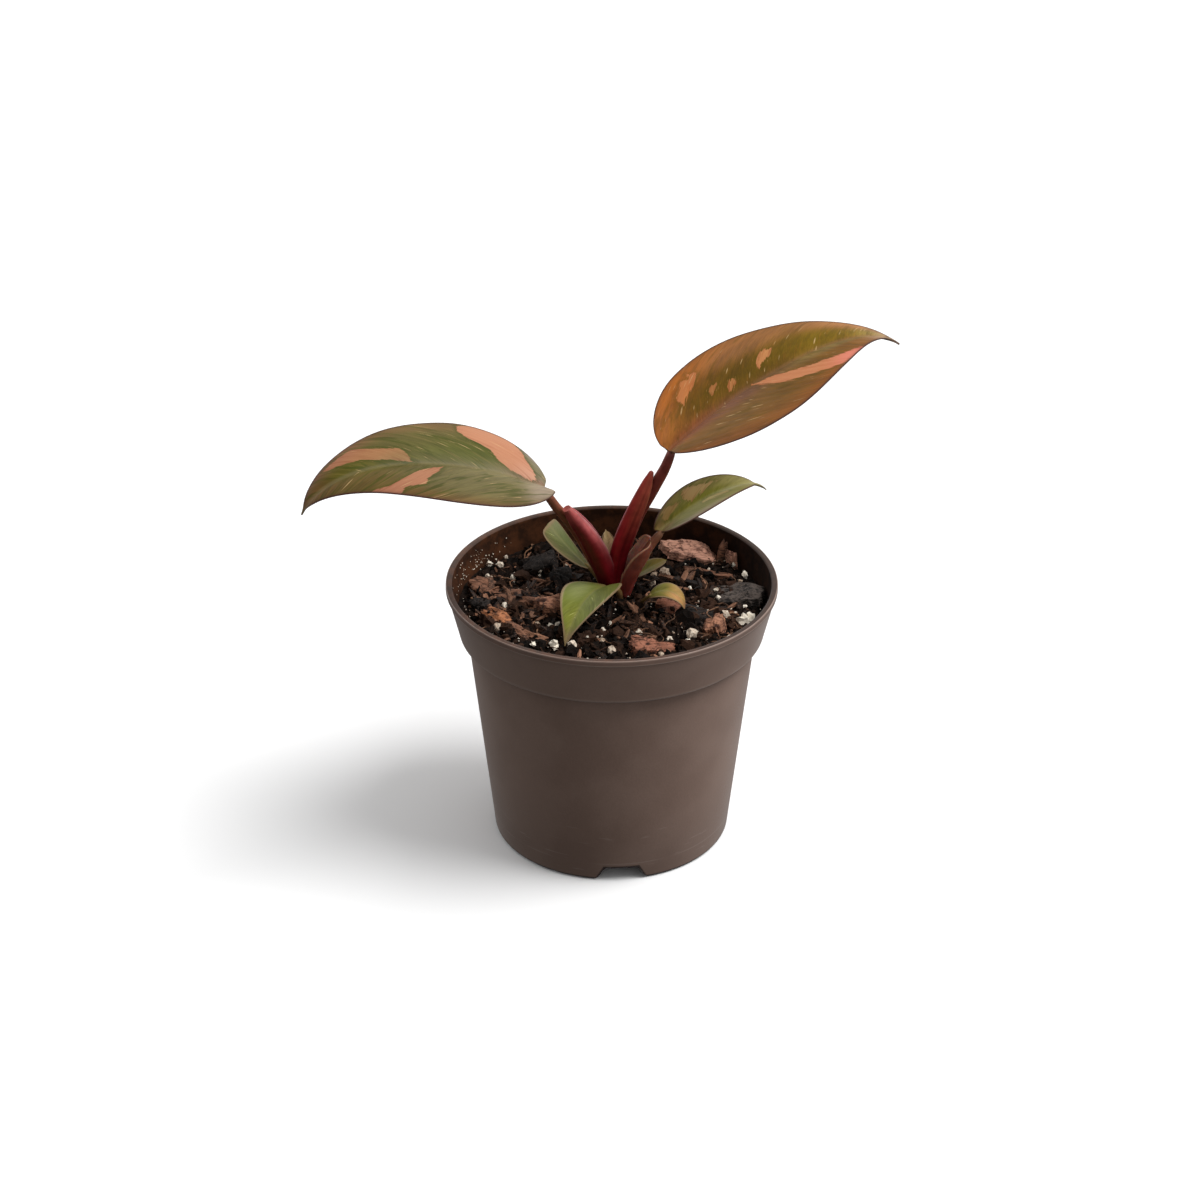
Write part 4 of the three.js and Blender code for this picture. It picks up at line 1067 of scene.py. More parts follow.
def blade_bmesh(key):
    """A blade with a rib below and a groove above, and its colours and places as attributes."""
    leaf = BLADES[key]
    rows, columns = leaf["rows"], leaf["columns"]
    bm = bmesh.new()
    bmesh.ops.create_grid(bm, x_segments=rows, y_segments=2 * columns, size=1)
    lower = bmesh.ops.extrude_face_region(bm, geom=bm.faces[:], use_keep_orig=True)["geom"]
    bmesh.ops.translate(bm, verts=[v for v in lower if isinstance(v, bmesh.types.BMVert)], vec=(0, 0, -1))
    stations = [(i / rows) ** 1.2 for i in range(rows + 1)]
    frames = midrib_frames(leaf, stations)
    outlines = [[on_blade(leaf, t, s) for t, s in outline] for outline in PATCHES.get(key, ())]
    places = {name: bm.verts.layers.float.new(name) for name in ("vein", "across", "margin", "patch")}
    paint = bm.verts.layers.float_color.new("paint")
    patch_paint = bm.verts.layers.float_color.new("patch_paint")
    seed = 7.3 * (1 + list(BLADES).index(key))
    for vert in bm.verts:
        row = round((vert.co.x + 1) / 2 * rows)
        t, s, under = stations[row], vert.co.y, -vert.co.z
        half = half_width(leaf, t, 0 if s >= 0 else 1)
        vert[places["vein"]] = vein_start(leaf, t, abs(s) * half, half)
        vert[places["across"]] = s * half
        margin = min(half * (1 - abs(s)), (1 - t) * leaf["length"] * 0.3 + 0.2)
        vert[places["margin"]] = margin + 0.7 * smooth_step((1.8 - half) / 1.2) * smooth_step(2 * t - 1)
        vert[places["patch"]] = patch_depth(leaf, outlines, t, s)
        vert[paint] = painted(PAINT[key], t, s)
        vert[patch_paint] = painted(PATCH_PAINT[key], t, s) if outlines else PALE_PATCH
        vert.co = blade_place(leaf, seed, frames[row], t, s, round(under))
    bmesh.ops.recalc_face_normals(bm, faces=bm.faces)
    return bm


# Stalks and sheaths
def smooth_route(route, share):
    """Point on a rounded line through the route's points, and its direction."""
    points = [Vector(p) for p in route]
    place = share * (len(points) - 1)
    low = min(int(place), len(points) - 2)
    u = place - low
    a, b = points[low], points[low + 1]
    before = points[low - 1] if low > 0 else a - (b - a)
    after = points[low + 2] if low + 2 < len(points) else b + (b - a)
    slope_a, slope_b = (b - before) / 2, (after - a) / 2
    point = (
        a * (2 * u**3 - 3 * u**2 + 1) + slope_a * (u**3 - 2 * u**2 + u)
        + b * (3 * u**2 - 2 * u**3) + slope_b * (u**3 - u**2)
    )
    direction = (
        a * (6 * u**2 - 6 * u) + slope_a * (3 * u**2 - 4 * u + 1)
        + b * (6 * u - 6 * u**2) + slope_b * (3 * u**2 - 2 * u)
    )
    return point, direction.normalized()


def tube_bmesh(route, radii, sides=28, rows=60, depth=1.0, form=None, cup=0.0, paint=None, rounding=0.0):
    """A closed tube along a route. form(share, angle) scales its radius."""
    bm = bmesh.new()
    bmesh.ops.create_grid(bm, x_segments=rows, y_segments=sides, size=1)
    skin = bm.verts.layers.float_vector.new("skin")
    tint = bm.verts.layers.float_color.new("paint")
    length = sum((Vector(a) - Vector(b)).length for a, b in zip(route, route[1:]))
    for vert in bm.verts:
        row = round((vert.co.x + 1) / 2 * rows)
        share = min(max((row - 1) / (rows - 2), 0), 1)
        angle = vert.co.y * math.pi
        centre, ahead = smooth_route(route, share)
        side = ahead.cross(Vector((0, 1, 0))).normalized()
        front = side.cross(ahead)
        end = math.sqrt(max(1 - max(1 - (1 - share) * length / rounding, 0) ** 2, 0)) if rounding else 1
        radius = along(radii, share) * end * (form(share, angle) if form else 1)
        if row in (0, rows):
            radius = 0
            centre = centre - ahead * (cup if row == rows else 0)
        vert.co = (centre + side * math.cos(angle) * radius - front * math.sin(angle) * radius * depth) * MM
        vert[skin] = (math.cos(angle), math.sin(angle), share * length)
        vert[tint] = painted(paint, share, angle / math.pi) if paint else (1, 1, 1, 1)
    bmesh.ops.remove_doubles(bm, verts=bm.verts, dist=0.002 * MM)
    bmesh.ops.recalc_face_normals(bm, faces=bm.faces)
    crease(bm, 50)
    return bm


def hood_bmesh():
    """The open sheath of the small leaf's stalk: a spoon-like shell with a long oval mouth."""
    rows, columns = 60, 44
    bm = bmesh.new()
    bmesh.ops.create_grid(bm, x_segments=rows, y_segments=columns, size=1)
    skin = bm.verts.layers.float_vector.new("skin")
    tint = bm.verts.layers.float_color.new("paint")
    mouth = Vector(HOOD["mouth"])
    for vert in bm.verts:
        share = (vert.co.x + 1) / 2
        centre, ahead = smooth_route(HOOD["route"], share)
        open_way = (mouth - ahead * mouth.dot(ahead)).normalized()
        cross_way = ahead.cross(open_way)
        closed = 180 - along(HOOD["opening"][0 if vert.co.y < 0 else 1], share)
        angle = math.radians(180 + vert.co.y * closed)
        end = math.sqrt(max(1 - max(share - 0.8, 0) ** 2 / 0.04, 0))
        radius = along(HOOD["radii"], share) * end
        vert[skin] = (math.cos(angle), math.sin(angle), share * HOOD["length"])
        vert[tint] = painted(STALK_PAINT["hood"], share, vert.co.y)
        vert.co = (centre + open_way * math.cos(angle) * radius + cross_way * math.sin(angle) * radius) * MM
    bmesh.ops.remove_doubles(bm, verts=bm.verts, dist=0.02 * MM)
    bmesh.ops.recalc_face_normals(bm, faces=bm.faces)
    shell = set(bm.verts)
    bmesh.ops.solidify(bm, geom=bm.faces[:], thickness=HOOD["wall"] * MM)
    wall = [vert for vert in bm.verts if vert not in shell]

    def mean_reach(verts):
        """How far vertices lie from the hood's centre line, in the mean."""
        line = (smooth_route(HOOD["route"], vert[skin].z / HOOD["length"])[0] for vert in verts)
        return sum((vert.co / MM - point).length for vert, point in zip(verts, line)) / len(verts)

    inner = shell if mean_reach(shell) < mean_reach(wall) else wall
    for vert in inner:
        vert[tint] = painted(STALK_PAINT["hood inside"], vert[skin].z / HOOD["length"], 0)
    bmesh.ops.recalc_face_normals(bm, faces=bm.faces)
    crease(bm, 60)
    return bm


# Loose grains
def scatter(count, seed, make, batch=50):
    """Many small grains in one mesh, made a batch at a time, because each operator walks its whole mesh."""
    source = random.Random(seed)
    whole = bmesh.new()
    whole.verts.layers.float.new("tone")
    for first in range(0, count, batch):
        part = bmesh.new()
        part.verts.layers.float.new("tone")
        for index in range(first, min(first + batch, count)):
            make(part, index, source)
        mesh = as_mesh(part, "batch")
        whole.from_mesh(mesh)
        bpy.data.meshes.remove(mesh)
    return whole


def random_turn(source):
    return Euler([source.uniform(-math.pi, math.pi) for _ in range(3)]).to_matrix()


def place_on_mix(source, radius, heap=None):
    """A random place on the mix inside a radius, clear of the stem, or in a heap of (x, y, spread)."""
    while True:
        angle = source.uniform(0, 2 * math.pi)
        reach = math.sqrt(source.random()) * radius
        x, y = math.cos(angle) * reach, math.sin(angle) * reach
        if heap:
            x, y = source.gauss(heap[0], heap[2]), source.gauss(heap[1], heap[2])
        from_stem = math.hypot(x - STEM["x"], y - STEM["y"])
        if from_stem > MIX["clear_of_stem"] and math.hypot(x, y) < radius:
            return x, y


def add_lump(bm, source, centre, size, turn, tone, roughness=0.35, subdivisions=2, angular=1.4):
    """A rough rounded grain of a size along each of its axes."""
    made = bmesh.ops.create_icosphere(bm, subdivisions=subdivisions, radius=1)["verts"]
    layer = bm.verts.layers.float["tone"]
    shift = Vector([source.uniform(-40, 40) for _ in range(3)])
    for vert in made:
        swell = 1 + roughness * noise.noise(vert.co * angular + shift)
        vert.co = (turn @ Vector([c * swell * s for c, s in zip(vert.co, size)]) + Vector(centre)) * MM
        vert[layer] = tone


def add_splinter(bm, source, centre, size, turn, tone):
    """A chip or splinter: a block with one cut each way and every corner pushed about."""
    known = len(bm.verts)
    made = bmesh.ops.create_cube(bm, size=1)["verts"]
    edges = list({edge for vert in made for edge in vert.link_edges})
    bmesh.ops.subdivide_edges(bm, edges=edges, cuts=1, use_grid_fill=True)
    layer = bm.verts.layers.float["tone"]
    for vert in bm.verts[known:]:
        jitter = Vector([source.uniform(-0.16, 0.16) for _ in range(3)])
        ends = 1 - 0.45 * abs(vert.co.x) * 2 * source.random()
        place = Vector((vert.co.x, vert.co.y * ends, vert.co.z * ends)) + jitter
        vert.co = (turn @ Vector([c * s for c, s in zip(place, size)]) + Vector(centre)) * MM
        vert[layer] = tone


def make_peat(bm, index, source):
    size = source.uniform(0.3, 0.9) if index % 4 else source.uniform(0.9, 1.9)
    size = source.uniform(2, 2.8) if index % 31 == 0 else size
    x, y = place_on_mix(source, REACH["peat"] - 1.75 * size)
    shape = [size * source.uniform(0.6, 1.3) for _ in range(3)]
    centre = (x, y, mix_top(x, y) + size * source.uniform(-0.4, 0.4))
    detail = 2 if size > 0.7 else 1
    add_lump(bm, source, centre, shape, random_turn(source), source.random() ** 1.6, 0.8, detail, 2.2)


def make_bark_crumb(bm, index, source):
    length = 0.6 + 3.2 * source.random() ** 1.6 if index % 4 else source.uniform(3.5, 9)
    x, y = place_on_mix(source, REACH["bark"] - 0.7 * length, BARK_HEAP if index % 5 < 2 else None)
    width = length * (source.uniform(0.22, 0.5) if index % 4 else source.uniform(0.1, 0.3))
    size = (length, width, min(width, 1.4) * source.uniform(0.4, 0.9))
    turn = Euler((source.uniform(-0.7, 0.7), source.gauss(0, 0.35), source.uniform(0, math.pi))).to_matrix()
    centre = (x, y, mix_top(x, y) + source.uniform(0.2, 1.3))
    add_splinter(bm, source, centre, size, turn, source.random() ** 3)


def make_perlite(bm, index, source):
    if index < len(PERLITE):
        x, y, size = PERLITE[index]
    else:
        size = source.uniform(0.12, 0.36) if index % 8 else source.uniform(0.45, 0.9)
        x, y = place_on_mix(source, REACH["perlite"] - 1.5 * size)
    shape = [size * source.uniform(0.8, 1.2) for _ in range(3)]
    centre = (x, y, mix_top(x, y) + size * 0.6 + source.uniform(0.2, 0.9))
    detail = 2 if size > 0.5 else 1
    add_lump(bm, source, centre, shape, random_turn(source), source.random(), 0.8, detail, 2.6)


def make_wall_speck(bm, index, source):
    """Perlite dust and peat that sticks to the pot's inner wall above the mix."""
    angle = math.radians(source.gauss(WALL_SPECKS["direction"], WALL_SPECKS["spread"]))
    z = mixed(WALL_SPECKS["low"], WALL_SPECKS["high"], source.random() ** 1.8)
    radius = pot_inner_radius(z) - 0.05
    size = source.uniform(*WALL_SPECKS["size"])
    centre = (math.cos(angle) * radius, math.sin(angle) * radius, z)
    add_lump(bm, source, centre, (size, size, size * 1.3), random_turn(source), source.random(), 0.4, 1, 2.0)


def make_fibre(bm, index, source):
    """A thin root or coir fibre that lies in loose curves on the mix."""
    x, y = place_on_mix(source, REACH["fibre_start"])
    length = source.uniform(5, 15)
    heading = source.uniform(0, 2 * math.pi)
    radius = source.uniform(0.1, 0.24)
    tone = source.random()
    steps, sides = 12, 6
    rise = source.uniform(0.4, 1.6)
    bend = source.gauss(0, 1.2)
    made = bmesh.ops.create_grid(bm, x_segments=steps, y_segments=sides, size=1)["verts"]
    layer = bm.verts.layers.float["tone"]
    route = []
    for step in range(steps + 1):
        turn = heading + bend * (step / steps - 0.5) + 0.5 * math.sin(step * 0.9 + tone * 9)
        x, y = x + math.cos(turn) * length / steps, y + math.sin(turn) * length / steps
        reach = math.hypot(x, y)
        if reach > REACH["fibre"]:
            x, y = x * REACH["fibre"] / reach, y * REACH["fibre"] / reach
        lift = rise * math.sin(math.pi * step / steps) + 0.7
        route.append(Vector((x, y, mix_top(x, y) + lift)))
    for vert in made:
        step = round((vert.co.x + 1) / 2 * steps)
        ahead = route[min(step + 1, steps)] - route[max(step - 1, 0)]
        side = ahead.cross(Vector((0, 0, 1))).normalized()
        up = side.cross(ahead).normalized()
        angle = vert.co.y * math.pi
        thick = 0 if step in (0, steps) else radius
        vert.co = (route[step] + side * math.cos(angle) * thick + up * math.sin(angle) * thick) * MM
        vert[layer] = tone
    bmesh.ops.remove_doubles(bm, verts=made, dist=0.001 * MM)


# Bark
def bark_bmesh(name):
    """A flake of bark: an uneven outline, stepped layers and a rough grain along its length."""
    (x, y), size, turn, tilt, sunk, _ = CHIPS[name]
    index = list(CHIPS).index(name)
    shift = Vector((index * 3.7, index * 1.9, index * 5.3))
    bm = bmesh.new()
    bmesh.ops.create_cube(bm, size=1)
    bmesh.ops.subdivide_edges(bm, edges=bm.edges[:], cuts=11, use_grid_fill=True)
    for vert in bm.verts:
        p = vert.co.copy()
        outward = math.hypot(p.x, p.y)
        angle = math.atan2(p.y, p.x)
        square = max(abs(p.x), abs(p.y)) / max(outward, 1e-6)
        edge = 1.08 + 0.42 * noise.noise(Vector((math.cos(angle) * 1.3, math.sin(angle) * 1.3, 0)) + shift)
        edge += 0.2 * noise.noise(Vector((math.cos(angle) * 5, math.sin(angle) * 5, 0)) + shift)
        keep_corner = mixed(square, 1, 0.45) * edge
        flat = Vector((p.x, p.y, 0)) * keep_corner
        rim = max(abs(p.x), abs(p.y)) * 2
        layer = noise.noise(Vector((p.x * 2.2, p.y * 3.0, 0)) + shift)
        stepped = math.floor(layer * 4) / 4
        ridge = noise.noise(Vector((p.x * 3, p.y * 6, 2)) + shift)
        thick = 1 - 0.35 * rim**4
        z = p.z * thick + (0.22 * stepped + 0.1 * ridge) * (1 if p.z > 0 else 0.3)
        rough = noise.noise_vector(p * 9 + shift) * 0.035
        placed = Vector((flat.x, flat.y, z)) + rough
        vert.co = [share * extent for share, extent in zip(placed, size)]
    height = mix_top(x, y) + size[2] / 2 - sunk
    place = Matrix.Translation((x, y, height)) @ Matrix.Rotation(math.radians(turn), 4, "Z")
    place = place @ Matrix.Rotation(math.radians(tilt), 4, "Y")
    bmesh.ops.transform(bm, matrix=Matrix.Scale(MM, 4) @ place, verts=bm.verts)
    for vert in bm.verts:
        outward = math.hypot(vert.co.x, vert.co.y) / MM
        reach = pot_inner_radius(vert.co.z / MM) - GAP
        if outward > reach:
            vert.co.xy = vert.co.xy * reach / outward
    crease(bm, 28)
    return bm


# Settings
class PotSettings(bpy.types.PropertyGroup):
    steps: IntProperty(name="Steps round", description="Faces round the pot", default=180, min=48, max=360)
    plastic: FloatVectorProperty(
        name="Plastic", description="Colour of the pot", subtype="COLOR",
        default=srgb(130, 106, 94)[:3], min=0, max=1,
    )
    plastic_pale: FloatVectorProperty(
        name="Plastic mottling", description="Paler colour that clouds the plastic", subtype="COLOR",
        default=srgb(138, 114, 102)[:3], min=0, max=1,
    )


class FoliageSettings(bpy.types.PropertyGroup):
    fleck: FloatVectorProperty(
        name="Cream", description="Colour of the small flecks", subtype="COLOR",
        default=srgb(206, 172, 122)[:3], min=0, max=1,
    )


class MixSettings(bpy.types.PropertyGroup):
    peat: IntProperty(
        name="Peat crumbs", description="Number of dark crumbs", default=2600, min=100, max=3200,
    )
    bark: IntProperty(
        name="Bark crumbs", description="Number of small bark splinters", default=760, min=50, max=2000,
    )
    perlite: IntProperty(
        name="Perlite", description="Number of perlite grains", default=330, min=30, max=900,
    )
    fibres: IntProperty(
        name="Fibres", description="Number of root fibres", default=80, min=0, max=400,
    )
    detail: IntProperty(
        name="Bed detail", description="Faces across the bed", default=210, min=40, max=300,
    )


class StageSettings(bpy.types.PropertyGroup):
    distance: FloatProperty(
        name="Camera distance", description="From the camera to the point that it looks at", unit="LENGTH",
        default=0.9, min=0.3, max=3,
    )
    elevation: FloatProperty(
        name="Camera elevation", description="Angle above the horizon", subtype="ANGLE",
        default=math.radians(28.542), min=0, max=math.pi / 2,
    )
    lens: FloatProperty(
        name="Lens", description="Focal length in millimetres", default=87.615, min=20, max=300,
    )
    key_power: FloatProperty(
        name="Key light", description="Strength of the key light", default=2.6, min=0,
    )
    key_softness: FloatProperty(
        name="Key softness", description="Angle that the key light fills", subtype="ANGLE",
        default=math.radians(36), min=0, max=math.pi,
    )
    key_azimuth: FloatProperty(
        name="Key direction", description="Direction of the key light, from +X towards +Y", subtype="ANGLE",
        default=math.radians(-8), min=-math.pi, max=math.pi,
    )
    key_elevation: FloatProperty(
        name="Key elevation", description="Angle of the key light above the horizon", subtype="ANGLE",
        default=math.radians(56), min=0, max=math.pi / 2,
    )
    back_light: FloatProperty(
        name="Back light", description="Brightness of the studio's back", default=0.6, min=0,
    )
    front_light: FloatProperty(
        name="Front light", description="Brightness on the viewer's side", default=0.34, min=0,
    )
    right_light: FloatProperty(
        name="Right light", description="Brightness added on the right", default=0.7, min=0,
    )
    left_light: FloatProperty(
        name="Left light", description="Brightness added at the back left", default=1.2, min=0,
    )


# Operators
class AddPot(bpy.types.Operator):
    """Adds the nursery pot, with its foot notches and drainage holes cut out"""

    bl_idname = "philodendron.add_pot"
    bl_label = "Nursery pot"

    def execute(self, context):
        settings = context.scene.philodendron_pot
        bm = self.cut(context, spun(rounded(self.outline()), settings.steps), self.cutters())
        bmesh.ops.remove_doubles(bm, verts=bm.verts, dist=0.002 * MM)
        crease(bm, 32)
        self.mark_soil_shade_and_highlights(bm)
        outer = plastic_material(settings, "moulded plastic", 0.5, 0.2)
        pot = add_piece(bm, "pot", outer, "pot_plastic", "nursery_pot")
        pot.data.materials.append(plastic_material(settings, "soiled plastic", 0.12, 0.0))
        return {"FINISHED"}

    def cut(self, context, body, cutters):
        """The body without the cutters, as a new bmesh."""
        blank = as_object("pot blank", as_mesh(body, "pot blank"))
        tool = as_object("pot cutters", as_mesh(cutters, "pot cutters"))
        difference = blank.modifiers.new("cut", "BOOLEAN")
        difference.operation = "DIFFERENCE"
        difference.solver = "EXACT"
        difference.object = tool
        bm = bmesh.new()
        bm.from_mesh(blank.evaluated_get(context.evaluated_depsgraph_get()).to_mesh())
        for item in (blank, tool):
            mesh = item.data
            bpy.data.objects.remove(item)
            bpy.data.meshes.remove(mesh)
        return bm

    def mark_soil_shade_and_highlights(self, bm):
        """Marks soil inside, painted shade on foot, bead and lip, and painted edge highlights with some wear.
        """
        inside = bm.verts.layers.float.new("inside")
        paler_share = bm.verts.layers.float.new("paler_share")
        top, rim = POT["height"], POT["rim_radius"]
        for vert in bm.verts:
            radius, height = vert.co.xy.length / MM, vert.co.z / MM
            if height < top - 0.4:
                on_wall = radius < pot_inner_radius(height) + POT["wall"] / 2
                on_bead = radius > rim - 0.15 and height > BEAD_FOOT + 0.6
                # 0.9 at the foot is a painted contact shadow along the bottom edge; 0.45 on the bead is
                # painted shade over its upward face
                vert[inside] = 1 if on_wall else 0.9 if height < 0.8 else 0.45 if on_bead else 0
            else:
                # The lip's top gets painted shade (0.85), and its outer edge a pale line as a painted
                # highlight
                vert[inside] = 0.85 if radius < rim - 0.3 else 0.1
                vert[paler_share] = 0.35 if radius > rim - 0.3 else 0
            # Pale lines at the collar foot and under the bead: painted highlights along the edges, with some
            # wear
            on_collar_edge = abs(height - COLLAR_FOOT) < 0.4 and radius > POT["collar_foot_radius"] - 0.3
            on_bead_edge = abs(height - BEAD_FOOT - 0.3) < 0.25 and radius > rim - 0.4
            if on_collar_edge or on_bead_edge:
                vert[paler_share] = 0.6
        for face in bm.faces:
            face.material_index = 1 if all(vert[inside] == 1 for vert in face.verts) else 0

    def outline(self):
        """Points of (radius, height, corner size) from the floor's underside, out and up, and back in."""
        top, rim, base = POT["height"], POT["rim_radius"], POT["base_radius"]
        foot_inner = base - POT["foot_bevel"] - POT["foot_width"]
        lip_inner = POT["collar_top_radius"] - POT["wall"]
        return [
            (0, POT["floor_underside"], 0),
            (foot_inner, POT["floor_underside"], 0.5),
            (foot_inner, 0, 0.3),
            (base - POT["foot_bevel"], 0, 0.4),
            (body_radius(POT["foot_bevel"]), POT["foot_bevel"], 0.4),
            (body_radius(20), 20, 0),
            (body_radius(45), 45, 0),
            (POT["body_top_radius"] - 0.06, BODY_TOP - 1, 0),
            (POT["body_top_radius"], BODY_TOP, 0.35),
            (POT["collar_foot_radius"], COLLAR_FOOT, 0.35),
            (POT["collar_foot_radius"] + 0.22, COLLAR_FOOT + 1, 0),
            (POT["collar_top_radius"] + 0.3, BEAD_FOOT + 0.1, 0.15),
            (rim, BEAD_FOOT + 0.35, 0.2),
            (rim, BEAD_FOOT + 0.75, 0),
            (rim - 0.02, top - 0.6, 0),
            (rim - 0.05, top - 0.05, 0.3),
            (rim - 0.5, top, 0),
            (lip_inner + 0.4, top, 0.3),
            (lip_inner, top - 0.4, 0.3),
            (lip_inner, BEAD_FOOT, 0),
            (POT["collar_foot_radius"] - POT["wall"], COLLAR_FOOT, 0.5),
            (POT["body_top_radius"] - POT["wall"], BODY_TOP, 0.5),
            (body_radius(FLOOR_TOP) - POT["wall"], FLOOR_TOP, 0.6),
            (0, FLOOR_TOP, 0),
        ]

    def cutters(self):
        bm = bmesh.new()
        drains = [(0, 0, DRAIN["middle_radius"])]
        for index in range(DRAIN["count"]):
            angle = index / DRAIN["count"] * 2 * math.pi
            reach = DRAIN["ring_radius"]
            drains.append((math.cos(angle) * reach, math.sin(angle) * reach, DRAIN["radius"]))
        middle = POT["floor_underside"] + POT["wall"] / 2
        for x, y, radius in drains:
            bmesh.ops.create_cone(
                bm, cap_ends=True, segments=40, radius1=radius * MM, radius2=radius * MM, depth=3 * MM,
                matrix=Matrix.Translation(Vector((x, y, middle)) * MM),
            )
        foot, top, height = NOTCH["bottom_width"] / 2, NOTCH["top_width"] / 2, NOTCH["height"]
        half = [(foot + 3.5, -1, 0), (foot + 3.5, -0.05, 0), (foot, -0.05, 2.2), (top, height, 1.1)]
        loop = rounded(half + [(-y, z, cut) for y, z, cut in reversed(half)])
        for index in range(NOTCH["count"]):
            made = [bm.verts.new(Vector((POT["base_radius"] - 3, y, z)) * MM) for y, z in loop]
            end = bm.faces.new(made)
            grown = bmesh.ops.extrude_face_region(bm, geom=[end], use_keep_orig=True)["geom"]
            far = [item for item in grown if isinstance(item, bmesh.types.BMVert)]
            bmesh.ops.translate(bm, verts=far, vec=(6 * MM, 0, 0))
            made += far
            turn = Matrix.Rotation(math.radians(NOTCH["first"] + 360 / NOTCH["count"] * index), 4, "Z")
            bmesh.ops.transform(bm, matrix=turn, verts=made)
        bmesh.ops.recalc_face_normals(bm, faces=bm.faces)
        return bm


class AddPottingMix(bpy.types.Operator):
    """Adds the bed of potting mix that fills the pot"""

    bl_idname = "philodendron.add_potting_mix"
    bl_label = "Potting mix"

    def execute(self, context):
        detail = context.scene.philodendron_mix.detail
        radius = pot_inner_radius(MIX["level"]) - GAP
        bm = bmesh.new()
        bmesh.ops.create_grid(bm, x_segments=detail, y_segments=detail, size=1)
        border = [edge for edge in bm.edges if edge.is_boundary]
        tone = bm.verts.layers.float.new("tone")
        for vert in bm.verts:
            u, v = vert.co.x, vert.co.y
            x = u * math.sqrt(1 - v * v / 2) * radius
            y = v * math.sqrt(1 - u * u / 2) * radius
            place = Vector((x, y, 0))
            rough = 1.3 * noise.fractal(place * 0.17, 1.0, 2.0, 3)
            rough += 1.0 * noise.fractal(place * 0.6 + Vector((9, 3, 1)), 1.0, 2.0, 3)
            fade = smooth_step((radius - math.hypot(x, y)) / 1.5)
            vert[tone] = 0.5 + 0.5 * noise.noise(place * 0.4)
            vert.co = Vector((x, y, mix_top(x, y) - 0.4 + rough * mixed(0.4, 1, fade))) * MM
        levels = (
            (POT["collar_foot_radius"], COLLAR_FOOT + GAP),
            (POT["body_top_radius"], BODY_TOP),
            (body_radius(FLOOR_TOP + GAP), FLOOR_TOP + GAP),
        )
        for wall_radius, level in levels:
            level_radius = wall_radius - POT["wall"] - GAP
            made = bmesh.ops.extrude_edge_only(bm, edges=border)["geom"]
            border = [edge for edge in made if isinstance(edge, bmesh.types.BMEdge) and edge.is_boundary]
            for vert in made:
                if isinstance(vert, bmesh.types.BMVert):
                    outward = vert.co.xy.normalized() * level_radius * MM
                    vert.co = (outward.x, outward.y, level * MM)
        bmesh.ops.contextual_create(bm, geom=border)
        bmesh.ops.recalc_face_normals(bm, faces=bm.faces)
        crease(bm, 70)
        material = crumb_material("peat", srgb(9, 5, 3), srgb(36, 24, 17), 0.9)
        add_piece(bm, "mix_bed", material, "potting_mix", "potting_mix")
        return {"FINISHED"}


class AddLooseMix(bpy.types.Operator):
    """Adds the loose crumbs, splinters, perlite and fibres on top of the mix"""

    bl_idname = "philodendron.add_loose_mix"
    bl_label = "Loose mix"

    def execute(self, context):
        settings = context.scene.philodendron_mix
        dark = crumb_material("peat crumbs", srgb(9, 5, 3), srgb(60, 40, 29), 0.8, 0.1)
        bark = crumb_material("bark crumbs", srgb(20, 12, 8), srgb(160, 114, 88), 0.6, 0.2)
        white = crumb_material("perlite", srgb(176, 152, 130), srgb(250, 240, 222), 0.8)
        root = crumb_material("root fibres", srgb(50, 32, 24), srgb(150, 112, 86), 0.6)
        parts = (
            ("peat_crumbs", settings.peat, 21, make_peat, dark, 25),
            ("bark_crumbs", settings.bark, 22, make_bark_crumb, bark, 20),
            ("perlite_grains", settings.perlite, 23, make_perlite, white, 30),
            ("wall_specks", WALL_SPECKS["count"], 24, make_wall_speck, white, 50),
            ("root_fibres", settings.fibres, 25, make_fibre, root, 60),
        )
        for name, count, seed, make, material, sharp in parts:
            bm = scatter(count, seed, make)
            bmesh.ops.recalc_face_normals(bm, faces=bm.faces)
            crease(bm, sharp)
            add_piece(bm, name, material, "potting_mix")
        return {"FINISHED"}


class AddBark(bpy.types.Operator):
    """Adds the large bark pieces and the twig"""

    bl_idname = "philodendron.add_bark"
    bl_label = "Bark pieces"

    def execute(self, context):
        slots = {row["node"]: row["material_slot"] for row in frame["record"]["subparts"]}
        noise.seed_set(BARK_SEED)  # unseeded, noise_vector starts from the clock
        for name, (_, _, turn, _, _, (light, dark)) in CHIPS.items():
            material = woody_material(name.replace("_", " "), light, dark, (0, 0, -math.radians(turn)))
            add_piece(bark_bmesh(name), "fine_" + name, material, slots[name], name)
        return {"FINISHED"}


class AddStem(bpy.types.Operator):
    """Adds the short stem that all leaf stalks grow from"""

    bl_idname = "philodendron.add_stem"
    bl_label = "Stem"

    def execute(self, context):
        top, bottom = STEM["top"], STEM["bottom"]
        route = [(STEM["x"], STEM["y"], z) for z in (bottom, (top + bottom) / 2, top)]
        neck, stub = STEM["neck_radius"], STEM["stub_radius"]
        radii = (stub * 0.7, stub, stub, neck, neck * 0.8)

        def ringed(share, angle):
            return 1 + 0.05 * math.sin(share * 50) + 0.05 * math.sin(angle * 3 + share * 6)

        bm = tube_bmesh(route, radii, sides=40, form=ringed, paint=STALK_PAINT["crown"])
        add_piece(bm, "stem", stalk_material("stem skin", 0.5, 0.05, srgb(60, 26, 22)), "stalk", "stem_crown")
        return {"FINISHED"}


